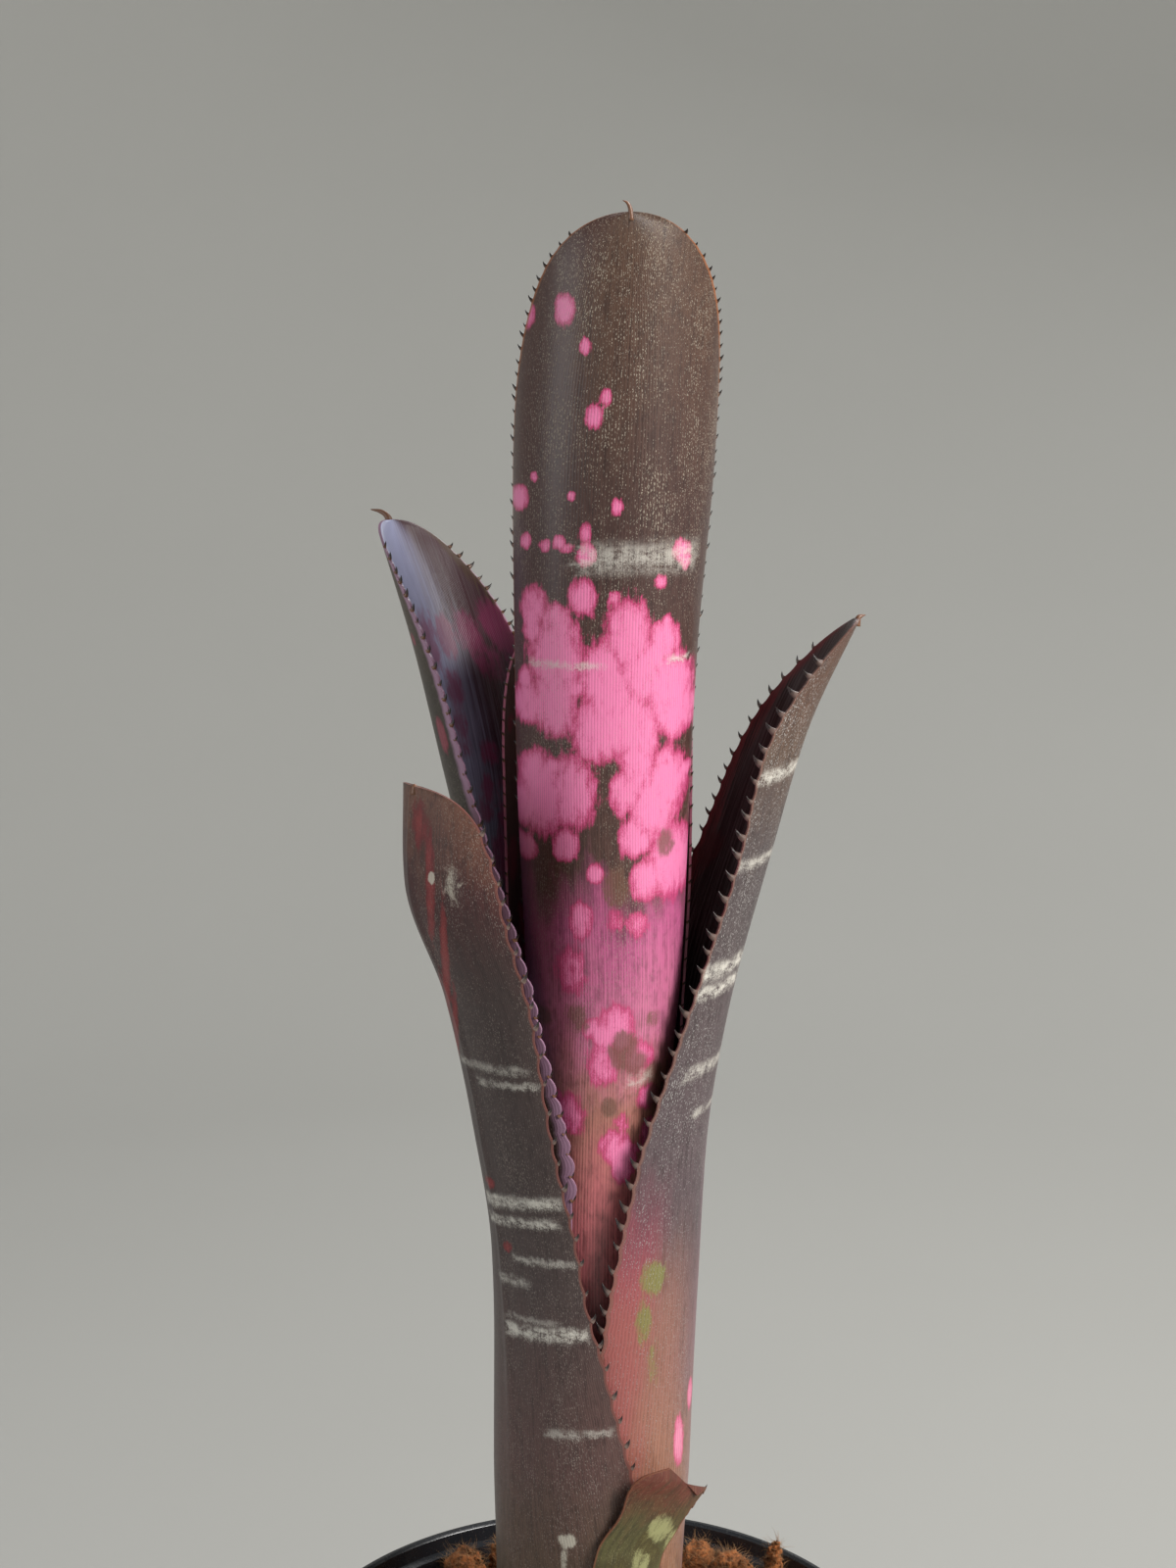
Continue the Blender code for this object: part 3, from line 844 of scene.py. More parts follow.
def leaf_shell(leaf, sets, ridge=None):
    """The closed sheet of a leaf: outer face, inner face, thin edges, foot and tip."""
    heights, sides = leaf_grid(leaf)
    body = np.sqrt(np.maximum(1 - sides ** 4, 0))
    thickness = MARGIN_THICKNESS + (leaf.thickness - MARGIN_THICKNESS) * body
    raised = ridge(heights, sides) if ridge else np.zeros_like(heights)
    outer = leaf_points(leaf, heights, sides, -raised, sets)
    inner = leaf_points(leaf, heights, sides, thickness - raised, sets)
    half = heights.size
    grid = np.arange(half).reshape(heights.shape)

    def strip(first, second):
        return np.stack([first[:-1], first[1:], second[1:], second[:-1]], -1).reshape(-1, 4)

    front = np.stack([grid[:-1, :-1], grid[:-1, 1:], grid[1:, 1:], grid[1:, :-1]], -1).reshape(-1, 4)
    back = front[:, ::-1] + half
    edges = [
        strip(grid[:, 0], grid[:, 0] + half), strip(grid[:, -1], grid[:, -1] + half)[:, ::-1],
        strip(grid[0], grid[0] + half)[:, ::-1], strip(grid[-1], grid[-1] + half),
    ]
    faces = np.concatenate([front, back, *edges])
    mesh = bpy.data.meshes.new(leaf.name + "_blade")
    points = np.concatenate([outer.reshape(-1, 3), inner.reshape(-1, 3)])
    mesh.from_pydata(points.tolist(), [], faces.tolist())
    in_front = [0] * len(front)
    on_edges = [0] * (len(faces) - len(front) - len(back))
    mesh.polygons.foreach_set("material_index", in_front + [1] * len(back) + on_edges)
    mesh.shade_smooth()
    mesh.set_sharp_from_angle(angle=math.radians(55))
    obj = bpy.data.objects.new(leaf.name + "_blade", mesh)
    _, _, radius, _, half_angle, _ = leaf_arc(leaf, heights)
    across = sides * half_angle * radius / MM
    for name, values in (("side", sides), ("across", across), ("height", heights / MM)):
        face_value(obj, name, np.concatenate([values.ravel(), values.ravel()]))
    return obj, outer, inner


def spotted(points, spots):
    """How strongly some spots show at each point: 1 in a spot's middle, 0.5 at its edge.

    A spot is its x and height above the mix, half its width and half its height in mm, on the
    side that faces forward, and how bright it is.
    """
    x = points[..., 0] / MM
    up = (points[..., 2] - soil_height) / MM
    shown = np.zeros(x.shape)
    for place_x, place_up, half_width, half_height, strength in spots:
        away = ((x - place_x) / half_width / SPOT_SPREAD) ** 2
        away = away + ((up - place_up) / half_height / SPOT_SPREAD) ** 2
        mark = strength * np.exp2(-np.power(away, 1.5))
        shown = np.maximum(shown, np.where(points[..., 1] < FRONT_LIMIT, mark, 0))
    return shown


# A belt of spots strewn by chance on the side that faces forward: how many, the heights above
# the mix and the reach in x that it spans, half the least and the greatest width, all in mm,
# and the strength of its faintest spot.
Belt = namedtuple("Belt", "count low high left right small large faint")


def strewn_spots(belts, seed):
    """Spots for the belts, a little taller than wide, with more small ones than large ones."""
    chance = random.Random(seed)
    spots = []
    for belt in belts:
        for _ in range(belt.count):
            place_x = chance.uniform(belt.left, belt.right)
            place_up = chance.uniform(belt.low, belt.high)
            half_width = belt.small + (belt.large - belt.small) * chance.random() ** 1.4
            half_height = half_width * chance.uniform(1.0, 1.7)
            spots.append((place_x, place_up, half_width, half_height, chance.uniform(belt.faint, 1)))
    return spots


def random_spots(heights, sides, around, count, seed, low, high, small, large):
    """Spots strewn over a face by chance, between two heights in mm, with sizes in mm."""
    chance = random.Random(seed)
    shown = np.zeros(heights.shape)
    for _ in range(count):
        up = chance.uniform(low, high)
        middle = chance.uniform(-0.95, 0.95)
        half_width = chance.uniform(small, large)
        half_height = half_width * chance.uniform(1.2, 2.2)
        strength = chance.uniform(0.65, 1)
        near = np.abs(heights / MM - up) < 3 * half_height
        away = ((sides - middle) * around / MM / half_width) ** 2
        away = away + ((heights / MM - up) / half_height) ** 2
        mark = strength * np.exp2(-np.power(np.minimum(away, 40), 1.5))
        shown = np.maximum(shown, np.where(near, mark, 0))
    return shown


def tone(red, green, blue):
    """A colour as the eye sees it, from 0 to 255, as the light values that a shader takes."""
    parts = [value / 255 for value in (red, green, blue)]
    return tuple(part / 12.92 if part < 0.04045 else ((part + 0.055) / 1.055) ** 2.4 for part in parts)


def leaf_skin(name, length, zones, scurf_color, scurf_amount, blush, edge, bands=(), gloss=0.34, veins=1.0,
              patch=(0, 0, 0), tints_and_painted_light=()):
    """A leaf face, built up from its ground colour by height, scurf, blush, veins and edge.

    zones are ramp stops by height as a share of the length; scurf_amount is (low, high) amounts
    by height; blush is its deep and light colour; edge is its colour, its width as a share of
    the side and its strength; a band of white scurf is its height, half its thickness, its
    slant up to the right, its strength, and the sides where it starts and ends. patch is the
    colour of the second set of spots. A tint is the side's sign, where on the side it starts and
    is full, the heights where it is full and gone, its colour and its strength. On the centre
    and front left leaves a tint is painted shade on the side away from the key light, and one
    on the centre leaf is painted light along its lower right edge.
    """
    finish = Finish(name, Coat_Weight=0.12, Coat_Roughness=0.22, IOR=1.45)
    side = finish.value_of("side")
    across = finish.value_of("across")
    height = finish.value_of("height")
    skin = finish.joined(across, height)
    cloud = finish.grain(finish.stretched(skin, (0.11, 0.045, 1)), 1, 4, 0.6, 0.3)
    mottle = finish.grain(finish.stretched(skin, (0.7, 0.33, 1)), 1, 4, 0.65, 0.4)
    fleck = finish.grain(finish.stretched(skin, (5.2, 2.6, 1)), 1, 2, 0.7)
    crumb = finish.cells(finish.stretched(skin, (3.4, 1.8, 1)), 1)
    streak = finish.grain(finish.stretched(skin, (3.0, 0.05, 1)), 1, 3, 0.6)
    line = (side * (VEINS * math.pi) + streak * 3.0).sine() * 0.5 + 0.5
    share = (height + (cloud - 0.5) * 34 + (mottle - 0.5) * 8) / length
    colour = finish.ramp(share, zones)
    dark_side = (streak * 0.55 + mottle * 0.45).between(0.56, 0.36)
    colour = finish.blend(dark_side * 0.5, colour, tone(30, 18, 20))
    # Each tint blends a colour over one side of the leaf; on the centre and front left leaves this paints
    # shade and light there.
    for sign, start, full, low, high, shade, power in tints_and_painted_light:
        reach = (side * sign + (cloud - 0.5) * 0.25 + (streak - 0.5) * 0.15).between(start, full)
        level = (height + (cloud - 0.5) * 20).between(high, low)
        colour = finish.blend(reach * level * power, colour, shade)
    strength = finish.value_of("blush") + (mottle - 0.5) * 0.85 + (streak - 0.5) * 0.45
    shown = strength.between(0.34, 0.60)
    pale = (strength + (fleck - 0.5) * 0.6).between(0.45, 0.95)
    blushed = finish.blend(pale, blush[0], blush[1])
    colour = finish.blend(shown * 0.93, colour, blushed)
    amount = height.between(length * 0.35, length * 0.95, *scurf_amount)
    patched = (finish.value_of("patch") + (mottle - 0.5) * 1.1 + (fleck - 0.5) * 0.5).between(0.35, 0.75)
    colour = finish.blend(patched * 0.8, colour, patch)
    grains = (fleck * 0.55 + (1 - crumb) * 0.3 + line * 0.12 + (cloud - 0.5) * 0.3).between(0.55, 0.68)
    scurf = grains * amount * (1 - shown * 0.6)
    colour = finish.blend(scurf, colour, scurf_color)
    colour = finish.blend(line.power(3.0) * 0.22 * veins, colour, tone(22, 12, 14))
    broken = finish.grain(finish.stretched(skin, (0.32, 0.5, 1)), 1, 3, 0.7)
    white = 0
    for place, half, slant, power, left, right in bands:
        middle = height - place - side * slant + (mottle - 0.5) * 2.6 + (fleck - 0.5) * 2.4
        worn = (fleck * 0.7 + broken * 1.1 + streak * 0.4).between(0.85, 1.25)
        ends = (side + (broken - 0.5) * 0.4).between(left, left + 0.12)
        ends = ends * (side + (broken - 0.5) * 0.4).between(right, right - 0.12)
        band = abs(middle).between(half * 2.0, half * 0.2) * worn * ends * power
        white = band.most(white)
    colour = finish.blend(white, colour, tone(205, 200, 190))
    rim = abs(side).between(1 - edge[1], 1 - edge[1] * 0.35) * edge[2]
    colour = finish.blend(rim, colour, edge[0])
    return finish.done(
        Base_Color=colour,
        Roughness=gloss + scurf * 0.35 + white * 0.4 + streak * 0.12,
        Normal=finish.bump(line * -0.35 * veins + scurf * 0.7 + white + mottle * 0.8, 0.09 * MM, 0.75),
    )


def tooth_recipe(material):
    """Sets a curved, tapering tooth on every point, out from the edge and leaning to the tip."""
    recipe = Recipe(material.name + "_teeth")
    length = recipe.input("Tooth Length", "NodeSocketFloat", 1 * MM)
    width = recipe.input("Tooth Width", "NodeSocketFloat", 0.36 * MM)
    bend = recipe.input("Tooth Bend", "NodeSocketFloat", 0.4 * MM)
    tooth = tapered_thread(recipe, length, width, bend, 6, 7)
    vector = {"data_type": "FLOAT_VECTOR"}
    outward = recipe.add("GeometryNodeInputNamedAttribute", vector, {"Name": "outward"})
    along = recipe.add("GeometryNodeInputNamedAttribute", vector, {"Name": "along"})
    size = recipe.add("GeometryNodeInputNamedAttribute", {"data_type": "FLOAT"}, {"Name": "size"})
    flat = recipe.add("ShaderNodeCombineXYZ", {}, {0: 1.0, 1: 0.7, 2: 1.0})
    scale = recipe.add("ShaderNodeVectorMath", {"operation": "SCALE"}, {0: flat, "Scale": size})
    inputs = {"Primary Axis": outward, "Secondary Axis": along}
    settings = {"primary_axis": "Z", "secondary_axis": "X"}
    turn = recipe.add("FunctionNodeAxesToRotation", settings, inputs)
    inputs = {"Points": recipe.start.outputs[0], "Instance": tooth, "Rotation": turn, "Scale": scale}
    recipe.finish_with(recipe.add("GeometryNodeInstanceOnPoints", {}, inputs), material)
    return recipe


def tooth_horn(name, root, point):
    """Horny tooth: the leaf's colour at its root and dark at its sharp end."""
    finish = Finish(name, Coat_Weight=0.2, Coat_Roughness=0.2)
    reach = finish.value_of("reach")
    uneven = finish.grain(finish.object_place(), 1500, 2)
    colour = finish.blend((reach + (uneven - 0.5) * 0.4).between(0.05, 0.6), root, point)
    return finish.done(Base_Color=colour, Roughness=0.45 - reach * 0.15)


def leaf_teeth(leaf, sets, material, number):
    """All the teeth of a leaf, as one piece."""
    places = []
    outwards = []
    alongs = []
    sizes = []
    for seed, teeth in enumerate(sets):
        chance = random.Random(100 * number + seed)
        for height in tooth_heights(leaf, teeth, seed):
            levels = np.array([height, height + 0.5 * MM, height, height])
            sides = np.array([teeth.side, teeth.side, teeth.side * 0.985, teeth.side], float)
            depths = np.array([0.25, 0.25, 0.25, 0]) * MM
            at, above, inwards, skin = leaf_points(leaf, levels, sides, depths, sets)
            out = (Vector(at - inwards).normalized() + Vector(skin - at).normalized() * teeth.splay)
            out.normalize()
            along = Vector(above - at).normalized()
            places.append(Vector(at) - out * 0.2 * MM)
            outwards.append((out + along * teeth.lean).normalized())
            alongs.append(along)
            sizes.append(teeth.length * chance.uniform(0.75, 1.2))
    mesh = bpy.data.meshes.new("tooth_places")
    mesh.from_pydata([tuple(place) for place in places], [], [])
    for name, kind, field, values in (
        ("outward", "FLOAT_VECTOR", "vector", outwards), ("along", "FLOAT_VECTOR", "vector", alongs),
        ("size", "FLOAT", "value", sizes),
    ):
        kept = mesh.attributes.new(name, kind, "POINT")
        kept.data.foreach_set(field, np.array(values, np.float32).ravel())
    obj = bpy.data.objects.new("tooth_places", mesh)
    bpy.context.scene.collection.objects.link(obj)
    made = tooth_recipe(material).apply_to(obj, leaf.name + "_teeth")
    made.data.shade_smooth()
    return made


def tip_spine(leaf, material, across, up, back, width):
    """The dry spine that ends a leaf: it rises from the tip and hooks over by mm in each way."""
    top = leaf_points(leaf, np.array([leaf.length - 0.6 * MM]), np.array([0.0]), 0.3 * MM)[0] / MM
    route = [
        top - (0, 0, 1.0), top + (across * 0.15, back * 0.1, up * 0.45),
        top + (across * 0.5, back * 0.5, up * 0.85), top + (across, back, up),
    ]
    radii = np.array([width, width * 0.75, width * 0.5, width * 0.12]) * MM
    spine = swept_tube(leaf.name + "_tip", np.array(route) * MM, radii, 8, 5)
    spine.data.materials.append(material)
    return spine


def inner_skin(name, length, zones, blush, near=None, far=None, gloss=0.4):
    """The inside of a sheath: smooth and shadowed, with faint lengthwise veins and soft blots.

    near and far each tint the face towards one edge: the side's sign, the share of the side
    where the tint ends and is full, its colour and its strength. On the back left leaf the near
    tint is a painted sheen: a painted reflection of the lights on its glossy inside.
    """
    finish = Finish(name, Coat_Weight=0.1, Coat_Roughness=0.25, IOR=1.45)
    side = finish.value_of("side")
    height = finish.value_of("height")
    skin = finish.joined(finish.value_of("across"), height)
    cloud = finish.grain(finish.stretched(skin, (0.12, 0.05, 1)), 1, 4, 0.6, 0.3)
    mottle = finish.grain(finish.stretched(skin, (0.8, 0.3, 1)), 1, 4, 0.6, 0.3)
    streak = finish.grain(finish.stretched(skin, (2.4, 0.04, 1)), 1, 3, 0.6)
    line = (side * (VEINS * math.pi) + streak * 3.0).sine() * 0.5 + 0.5
    share = (height + (cloud - 0.5) * 30) / length
    colour = finish.ramp(share, zones)
    colour = finish.blend(streak.between(0.4, 0.65) * 0.3, colour, tone(120, 110, 112))
    for tint in filter(None, (near, far)):
        sign, outer, full, shade, power = tint
        reach = (side * sign + (cloud - 0.5) * 0.35 + (streak - 0.5) * 0.45).between(outer, full)
        colour = finish.blend(reach * power, colour, shade)
    strength = finish.value_of("blush") + (mottle - 0.5) * 1.1
    colour = finish.blend(strength.between(0.35, 0.8) * 0.7, colour, blush)
    return finish.done(
        Base_Color=colour,
        Roughness=gloss + streak * 0.15,
        Normal=finish.bump(line * -0.3 + mottle * 0.6 + streak * 0.5, 0.09 * MM, 0.7),
    )


def show_leaf(leaf, sets, skin, inside, spots, seed, slot, horn, counts, ridge=None, patches=()):
    """Makes a leaf's sheet with its two skins and its teeth, and puts them in place."""
    blade, outer, inner = leaf_shell(leaf, sets, ridge)
    heights, sides = leaf_grid(leaf)
    _, _, radius, _, half_angle, _ = leaf_arc(leaf, heights)
    around = half_angle * radius
    top = leaf.length / MM
    outer_count, inner_count, low = counts
    outside = spotted(outer, spots)
    chance = random_spots(heights, sides, around, outer_count, seed, low, top * 0.93, 1.0, 3.6)
    hidden = outer[..., 1] > 0 if spots else True
    outside = np.maximum(outside, np.where(hidden, chance, 0))
    within = random_spots(heights, sides, around, inner_count, seed + 50, low, top * 0.95, 1.5, 4.5)
    face_value(blade, "blush", np.concatenate([outside.ravel(), within.ravel()]))
    marks = spotted(outer, patches)
    face_value(blade, "patch", np.concatenate([marks.ravel(), np.zeros(marks.size)]))
    blade.data.materials.append(skin)
    blade.data.materials.append(inside)
    show(blade, slot, leaf.name)
    show(leaf_teeth(leaf, sets, horn, seed), slot)


centre = Leaf("leaf_centre", 0, 312.5 * MM, 0.84, 0.5, LEAF_THICKNESS, [
    (0.00, 0.0, 0.0, 0.0, 283, 150),
    (0.19, 0.2, 0.0, 0.1, 283, 140),
    (0.35, 0.6, 0.0, 0.1, 281, 122),
    (0.45, 1.6, 0.0, 0.5, 278, 106),
    (0.53, 2.4, 0.0, 1.5, 276, 97),
    (0.61, 2.3, 0.0, 2.5, 274, 93),
    (0.735, 2.9, 0.0, 3.8, 272, 90),
    (0.865, 4.6, 0.0, 5.4, 271, 87),
    (1.00, 7.0, 0.0, 5.6, 271, 84),
])
CENTRE_TEETH = [
    Teeth(-1, 150, 309, 4.6, 1.9, 1.35, 0.35, 0.55, 1.5),
    Teeth(1, 190, 309, 4.6, 1.9, 1.35, 0.35, 0.55, 1.5),
]
# The blotches are few and small high up, crowded and large in the middle, and soft lower down.
CENTRE_BELTS = [
    Belt(12, 250, 295, -14, 18, 0.6, 1.8, 0.8),
    Belt(16, 232, 252, -14, 19, 0.8, 2.6, 0.85),
    Belt(42, 184, 234, -14, 19, 1.2, 5.0, 0.95),
    Belt(18, 125, 182, -9, 13, 1.8, 3.6, 0.6),
]
OLIVE_BELTS = [Belt(11, 138, 200, -12, 15, 1.4, 2.8, 0.6)]
CENTRE_SEED = 11
OLIVE_SEED = 5
PINK_DEEP = tone(186, 52, 104)
PINK_LIGHT = tone(240, 130, 178)
BROWN_HORN = tooth_horn("brown_horn", tone(110, 72, 48), tone(26, 14, 10))
CENTRE_ZONES = [
    (0.00, tone(70, 58, 40)), (0.22, tone(150, 84, 84)), (0.37, tone(192, 108, 112)),
    (0.44, tone(170, 112, 100)), (0.50, tone(200, 112, 146)), (0.56, tone(190, 92, 138)),
    (0.60, tone(84, 58, 52)), (0.80, tone(72, 50, 46)), (1.00, tone(92, 68, 54)),
]
CENTRE_BANDS = [
    (248.5, 2.2, 0.4, 0.6, -0.3, 0.75), (228, 0.6, 0.4, 0.6, -0.7, 0.0), (228.5, 0.5, 0.4, 0.7, 0.35, 0.75),
    (143, 1.2, 6.0, 0.5, 0.1, 0.4),
]
centre_skin = leaf_skin(
    "centre_leaf_skin", 312.5, CENTRE_ZONES, tone(176, 164, 146), (0.18, 0.85), (PINK_DEEP, PINK_LIGHT),
    (tone(150, 92, 56), 0.05, 0.8), CENTRE_BANDS, gloss=0.32, patch=tone(108, 76, 62),
    tints_and_painted_light=[
        # painted shade: the left side, away from the key light, darkened to a deep reddish brown over the
        # leaf's own reddish brown
        (-1, 0.1, 0.8, 330, 350, tone(70, 36, 36), 0.55),
        # painted light: a paler pink along the lower right edge, where the key light falls, over the leaf's
        # own pink
        (1, 0.75, 0.95, 200, 215, tone(214, 120, 150), 0.5),
    ],
)
INSIDE_ZONES = [
    (0.00, tone(44, 34, 28)), (0.40, tone(58, 36, 34)), (0.70, tone(74, 44, 46)), (1.00, tone(88, 62, 52)),
]
centre_inside = inner_skin("centre_leaf_inside", 312.5, INSIDE_ZONES, tone(150, 58, 88))
show_leaf(centre, CENTRE_TEETH, centre_skin, centre_inside, strewn_spots(CENTRE_BELTS, CENTRE_SEED), 1,
          "leaf_mottled_pink", BROWN_HORN, (0, 60, 120), None, strewn_spots(OLIVE_BELTS, OLIVE_SEED))
show(tip_spine(centre, BROWN_HORN, -1.6, 2.6, -0.4, 0.55), "leaf_mottled_pink")


# ---- The back leaf ---------------------------------------------------------------------------
# A crimson sheath behind the centre one, facing the other way: only one edge of it shows from
# the front, and its back is blotched like the centre leaf.

back = Leaf("leaf_back", 1, 236 * MM, 0.87, 0.5, LEAF_THICKNESS, [
    (0.00, 0.0, 0.0, 0.0, 90, 140),
    (0.25, 0.3, 0.0, 0.1, 90, 125),
    (0.47, 0.5, 0.4, 0.5, 90, 108),
    (0.64, 1.1, 1.2, 1.7, 90, 93),
    (0.80, 1.2, 2.6, 3.2, 90, 88),
    (1.00, 1.1, 3.6, 3.7, 90, 86),
])
BACK_TEETH = [
    Teeth(-1, 110, 228, 5.5, 2.3, 0.95, 0.35, 0.6, 0.8),
    Teeth(1, 110, 228, 5.5, 2.3, 0.95, 0.35, 0.6, 0.8),
]
BACK_ZONES = [
    (0.00, tone(58, 46, 32)), (0.30, tone(110, 56, 58)), (0.55, tone(128, 50, 70)),
    (0.80, tone(104, 46, 58)), (1.00, tone(86, 56, 46)),
]
back_skin = leaf_skin(
    "back_leaf_skin", 236, BACK_ZONES, tone(168, 154, 140), (0.15, 0.6),
    (tone(176, 50, 88), tone(220, 116, 150)),
    (tone(172, 92, 116), 0.05, 0.85), [
        (150, 0.8, 1.0, 0.7, -0.6, 0.7), (186, 0.8, -1.2, 0.7, -0.2, 0.9), (112, 0.8, 1.5, 0.7, -0.8, 0.5),
    ],
)
back_inside = inner_skin("back_leaf_inside", 236, INSIDE_ZONES, tone(140, 44, 70))
show_leaf(back, BACK_TEETH, back_skin, back_inside, [], 2, "leaf_crimson", BROWN_HORN, (90, 50, 100))
show(tip_spine(back, BROWN_HORN, 0.8, 2.4, 0.6, 0.5), "leaf_crimson")


# ---- The back left leaf ----------------------------------------------------------------------
# A maroon sheath that arches out to the back left and shows its inside: a painted silvery blue
# sheen towards its near edge, which swells out between the teeth, and near black towards the far one.

back_left = Leaf("leaf_back_left", 2, 253 * MM, 0.855, 0.38, LEAF_THICKNESS, [
    (0.00, 0.0, 0.0, 0.0, 150, 130),
    (0.24, 0.4, 0.0, 0.1, 154, 117),
    (0.415, 0.2, 0.5, 0.4, 163, 94),
    (0.515, -1.2, 1.0, 0.1, 174, 84),
    (0.61, -4.0, 3.0, -0.4, 171, 76),
    (0.71, -8.8, 6.5, -1.2, 158, 78),
    (0.81, -15.5, 11.0, -2.1, 144, 82),
    (0.91, -22.6, 15.5, -2.8, 142, 80),
    (1.00, -32.5, 21.0, -5.4, 144, 83),
])
BACK_LEFT_TEETH = [
    Teeth(1, 120, 248, 4.2, 2.3, 1.5, -0.9, 1.0, -0.5),
    Teeth(-1, 120, 248, 3.0, 2.0, 1.5, 0.3, 0.4, 0.4),
]
BACK_LEFT_ZONES = [
    (0.00, tone(56, 44, 34)), (0.35, tone(74, 46, 46)), (0.60, tone(62, 50, 42)),
    (0.85, tone(58, 50, 40)), (1.00, tone(80, 62, 48)),
]
BACK_LEFT_INSIDE = [
    (0.00, tone(40, 32, 28)), (0.45, tone(70, 62, 66)), (0.65, tone(64, 34, 44)),
    (0.80, tone(54, 22, 32)), (1.00, tone(80, 44, 52)),
]
back_left_skin = leaf_skin(
    "back_left_leaf_skin", 253, BACK_LEFT_ZONES, tone(150, 140, 126), (0.2, 0.7),
    (tone(120, 40, 56), tone(150, 70, 84)), (tone(158, 122, 146), 0.10, 0.95),
    [(140, 0.9, 1.5, 0.8, -0.5, 0.8), (172, 0.8, -1.0, 0.8, -0.8, 0.3), (205, 0.7, 1.0, 0.7, -0.4, 0.5)],
)
back_left_inside = inner_skin(
    "back_left_leaf_inside", 253, BACK_LEFT_INSIDE, tone(142, 50, 92),
    # painted sheen: the pale silvery blue towards the near edge is a painted reflection of the lights over
    # the inside's own lilac tone
    (1, -0.55, 0.25, tone(186, 190, 226), 0.92), (-1, 0.9, 0.98, tone(92, 70, 54), 0.8), 0.28,
)
show_leaf(back_left, BACK_LEFT_TEETH, back_left_skin, back_left_inside, [], 3, "leaf_maroon",
          BROWN_HORN, (10, 60, 150))
show(tip_spine(back_left, BROWN_HORN, -4.2, 2.6, 1.2, 0.95), "leaf_maroon")


# ---- The right leaf --------------------------------------------------------------------------
# A stout sheath that arches out to the right. Its inside is dark maroon, painted almost black
# with painted shade, with a dark red rim; its outer face is grey under silver scurf, with arched
# white bands and long pale teeth.

right = Leaf("leaf_right", 3, 234 * MM, 0.855, 0.45, LEAF_THICKNESS, [
    (0.00, 0.0, 0.0, 0.0, 15, 125),
    (0.13, 0.1, 0.0, 0.2, 15, 120),
    (0.255, 0.9, 0.0, 1.0, 15, 113),
    (0.405, 2.0, 0.3, 1.2, 16, 105),
    (0.535, 4.5, 1.4, 0.3, 16, 94),
    (0.66, 11.2, 3.2, -1.9, 18, 84),
    (0.81, 22.5, 6.5, -4.1, 12, 73),
    (0.905, 30.7, 8.8, -5.6, 5, 77),
    (1.00, 43.6, 12.0, -7.9, 0, 84),
])
RIGHT_TEETH = [
    Teeth(-1, 62, 228, 4.4, 3.2, 2.1, 0.5, 0.5, -0.3),
    Teeth(1, 95, 228, 4.4, 3.3, 1.6, 0.4, 0.5, 0.3),
]
RIGHT_ZONES = [
    (0.00, tone(96, 92, 56)), (0.12, tone(152, 112, 84)), (0.24, tone(156, 114, 94)),
    (0.36, tone(126, 92, 92)), (0.48, tone(92, 76, 80)), (0.80, tone(84, 74, 74)),
    (0.90, tone(98, 78, 66)), (1.00, tone(96, 64, 50)),
]
# Painted shade: the inside is dark maroon, painted almost black for the shade inside the sheath.
RIGHT_INSIDE_WITH_SHADE = [
    (0.00, tone(30, 22, 18)), (0.55, tone(34, 12, 14)), (0.85, tone(28, 8, 10)), (1.00, tone(60, 22, 22)),
]
RIGHT_BANDS = [
    (206, 1.1, 2.5, 1.0, -1.1, 1.1), (188, 0.9, 2.0, 0.7, -1.1, -0.2), (167, 1.3, 2.0, 1.0, -1.1, 0.1),
    (163, 1.1, 2.0, 1.0, -1.1, 0.1), (146.5, 1.1, 2.0, 0.7, -0.9, 0.2), (137, 0.7, 1.5, 0.6, -0.7, 0.1),
]
right_skin = leaf_skin(
    "right_leaf_skin", 234, RIGHT_ZONES, tone(186, 182, 178), (0.5, 1.0),
    (tone(206, 84, 124), tone(236, 140, 174)), (tone(122, 84, 72), 0.035, 0.7), RIGHT_BANDS, gloss=0.4,
    patch=tone(122, 126, 66), tints_and_painted_light=[
        (-1, 0.62, 0.84, 100, 130, tone(156, 56, 82), 0.75),
        (-1, 0.30, 0.62, 90, 120, tone(176, 116, 90), 0.4),
        (1, -0.40, -0.1, 110, 170, tone(140, 104, 116), 0.5),
    ],
)
right_inside = inner_skin(
    "right_leaf_inside", 234, RIGHT_INSIDE_WITH_SHADE, tone(70, 14, 22),
    (1, 0.80, 0.95, tone(112, 26, 34), 0.85), None, 0.34,
)
GREY_HORN = tooth_horn("grey_horn", tone(112, 92, 84), tone(30, 17, 14))
RIGHT_SPOTS = [(18, 66, 0.9, 5, 1), (20.5, 74, 0.5, 3, 0.9), (16.5, 53, 0.7, 3, 0.8)]
RIGHT_MOSS = [
    (12.5, 104, 2.4, 3.4, 0.9), (10.5, 95, 1.6, 5, 0.75), (12.5, 86, 1.4, 6, 0.55), (6, 40, 4, 5, 0.7),
]
show_leaf(right, RIGHT_TEETH, right_skin, right_inside, RIGHT_SPOTS, 4, "leaf_grey_maroon", GREY_HORN,
          (16, 20, 40), None, RIGHT_MOSS)
show(tip_spine(right, BROWN_HORN, 1.8, 1.2, 0.4, 0.8), "leaf_grey_maroon")


# ---- The front left leaf ---------------------------------------------------------------------
# The shortest of the sheaths, arching out to the front left with its back to the viewer: grey
# brown scurf, a raised keel down its middle, white bands and dark hooks on its right edge, and
# painted shade darkening its left side.

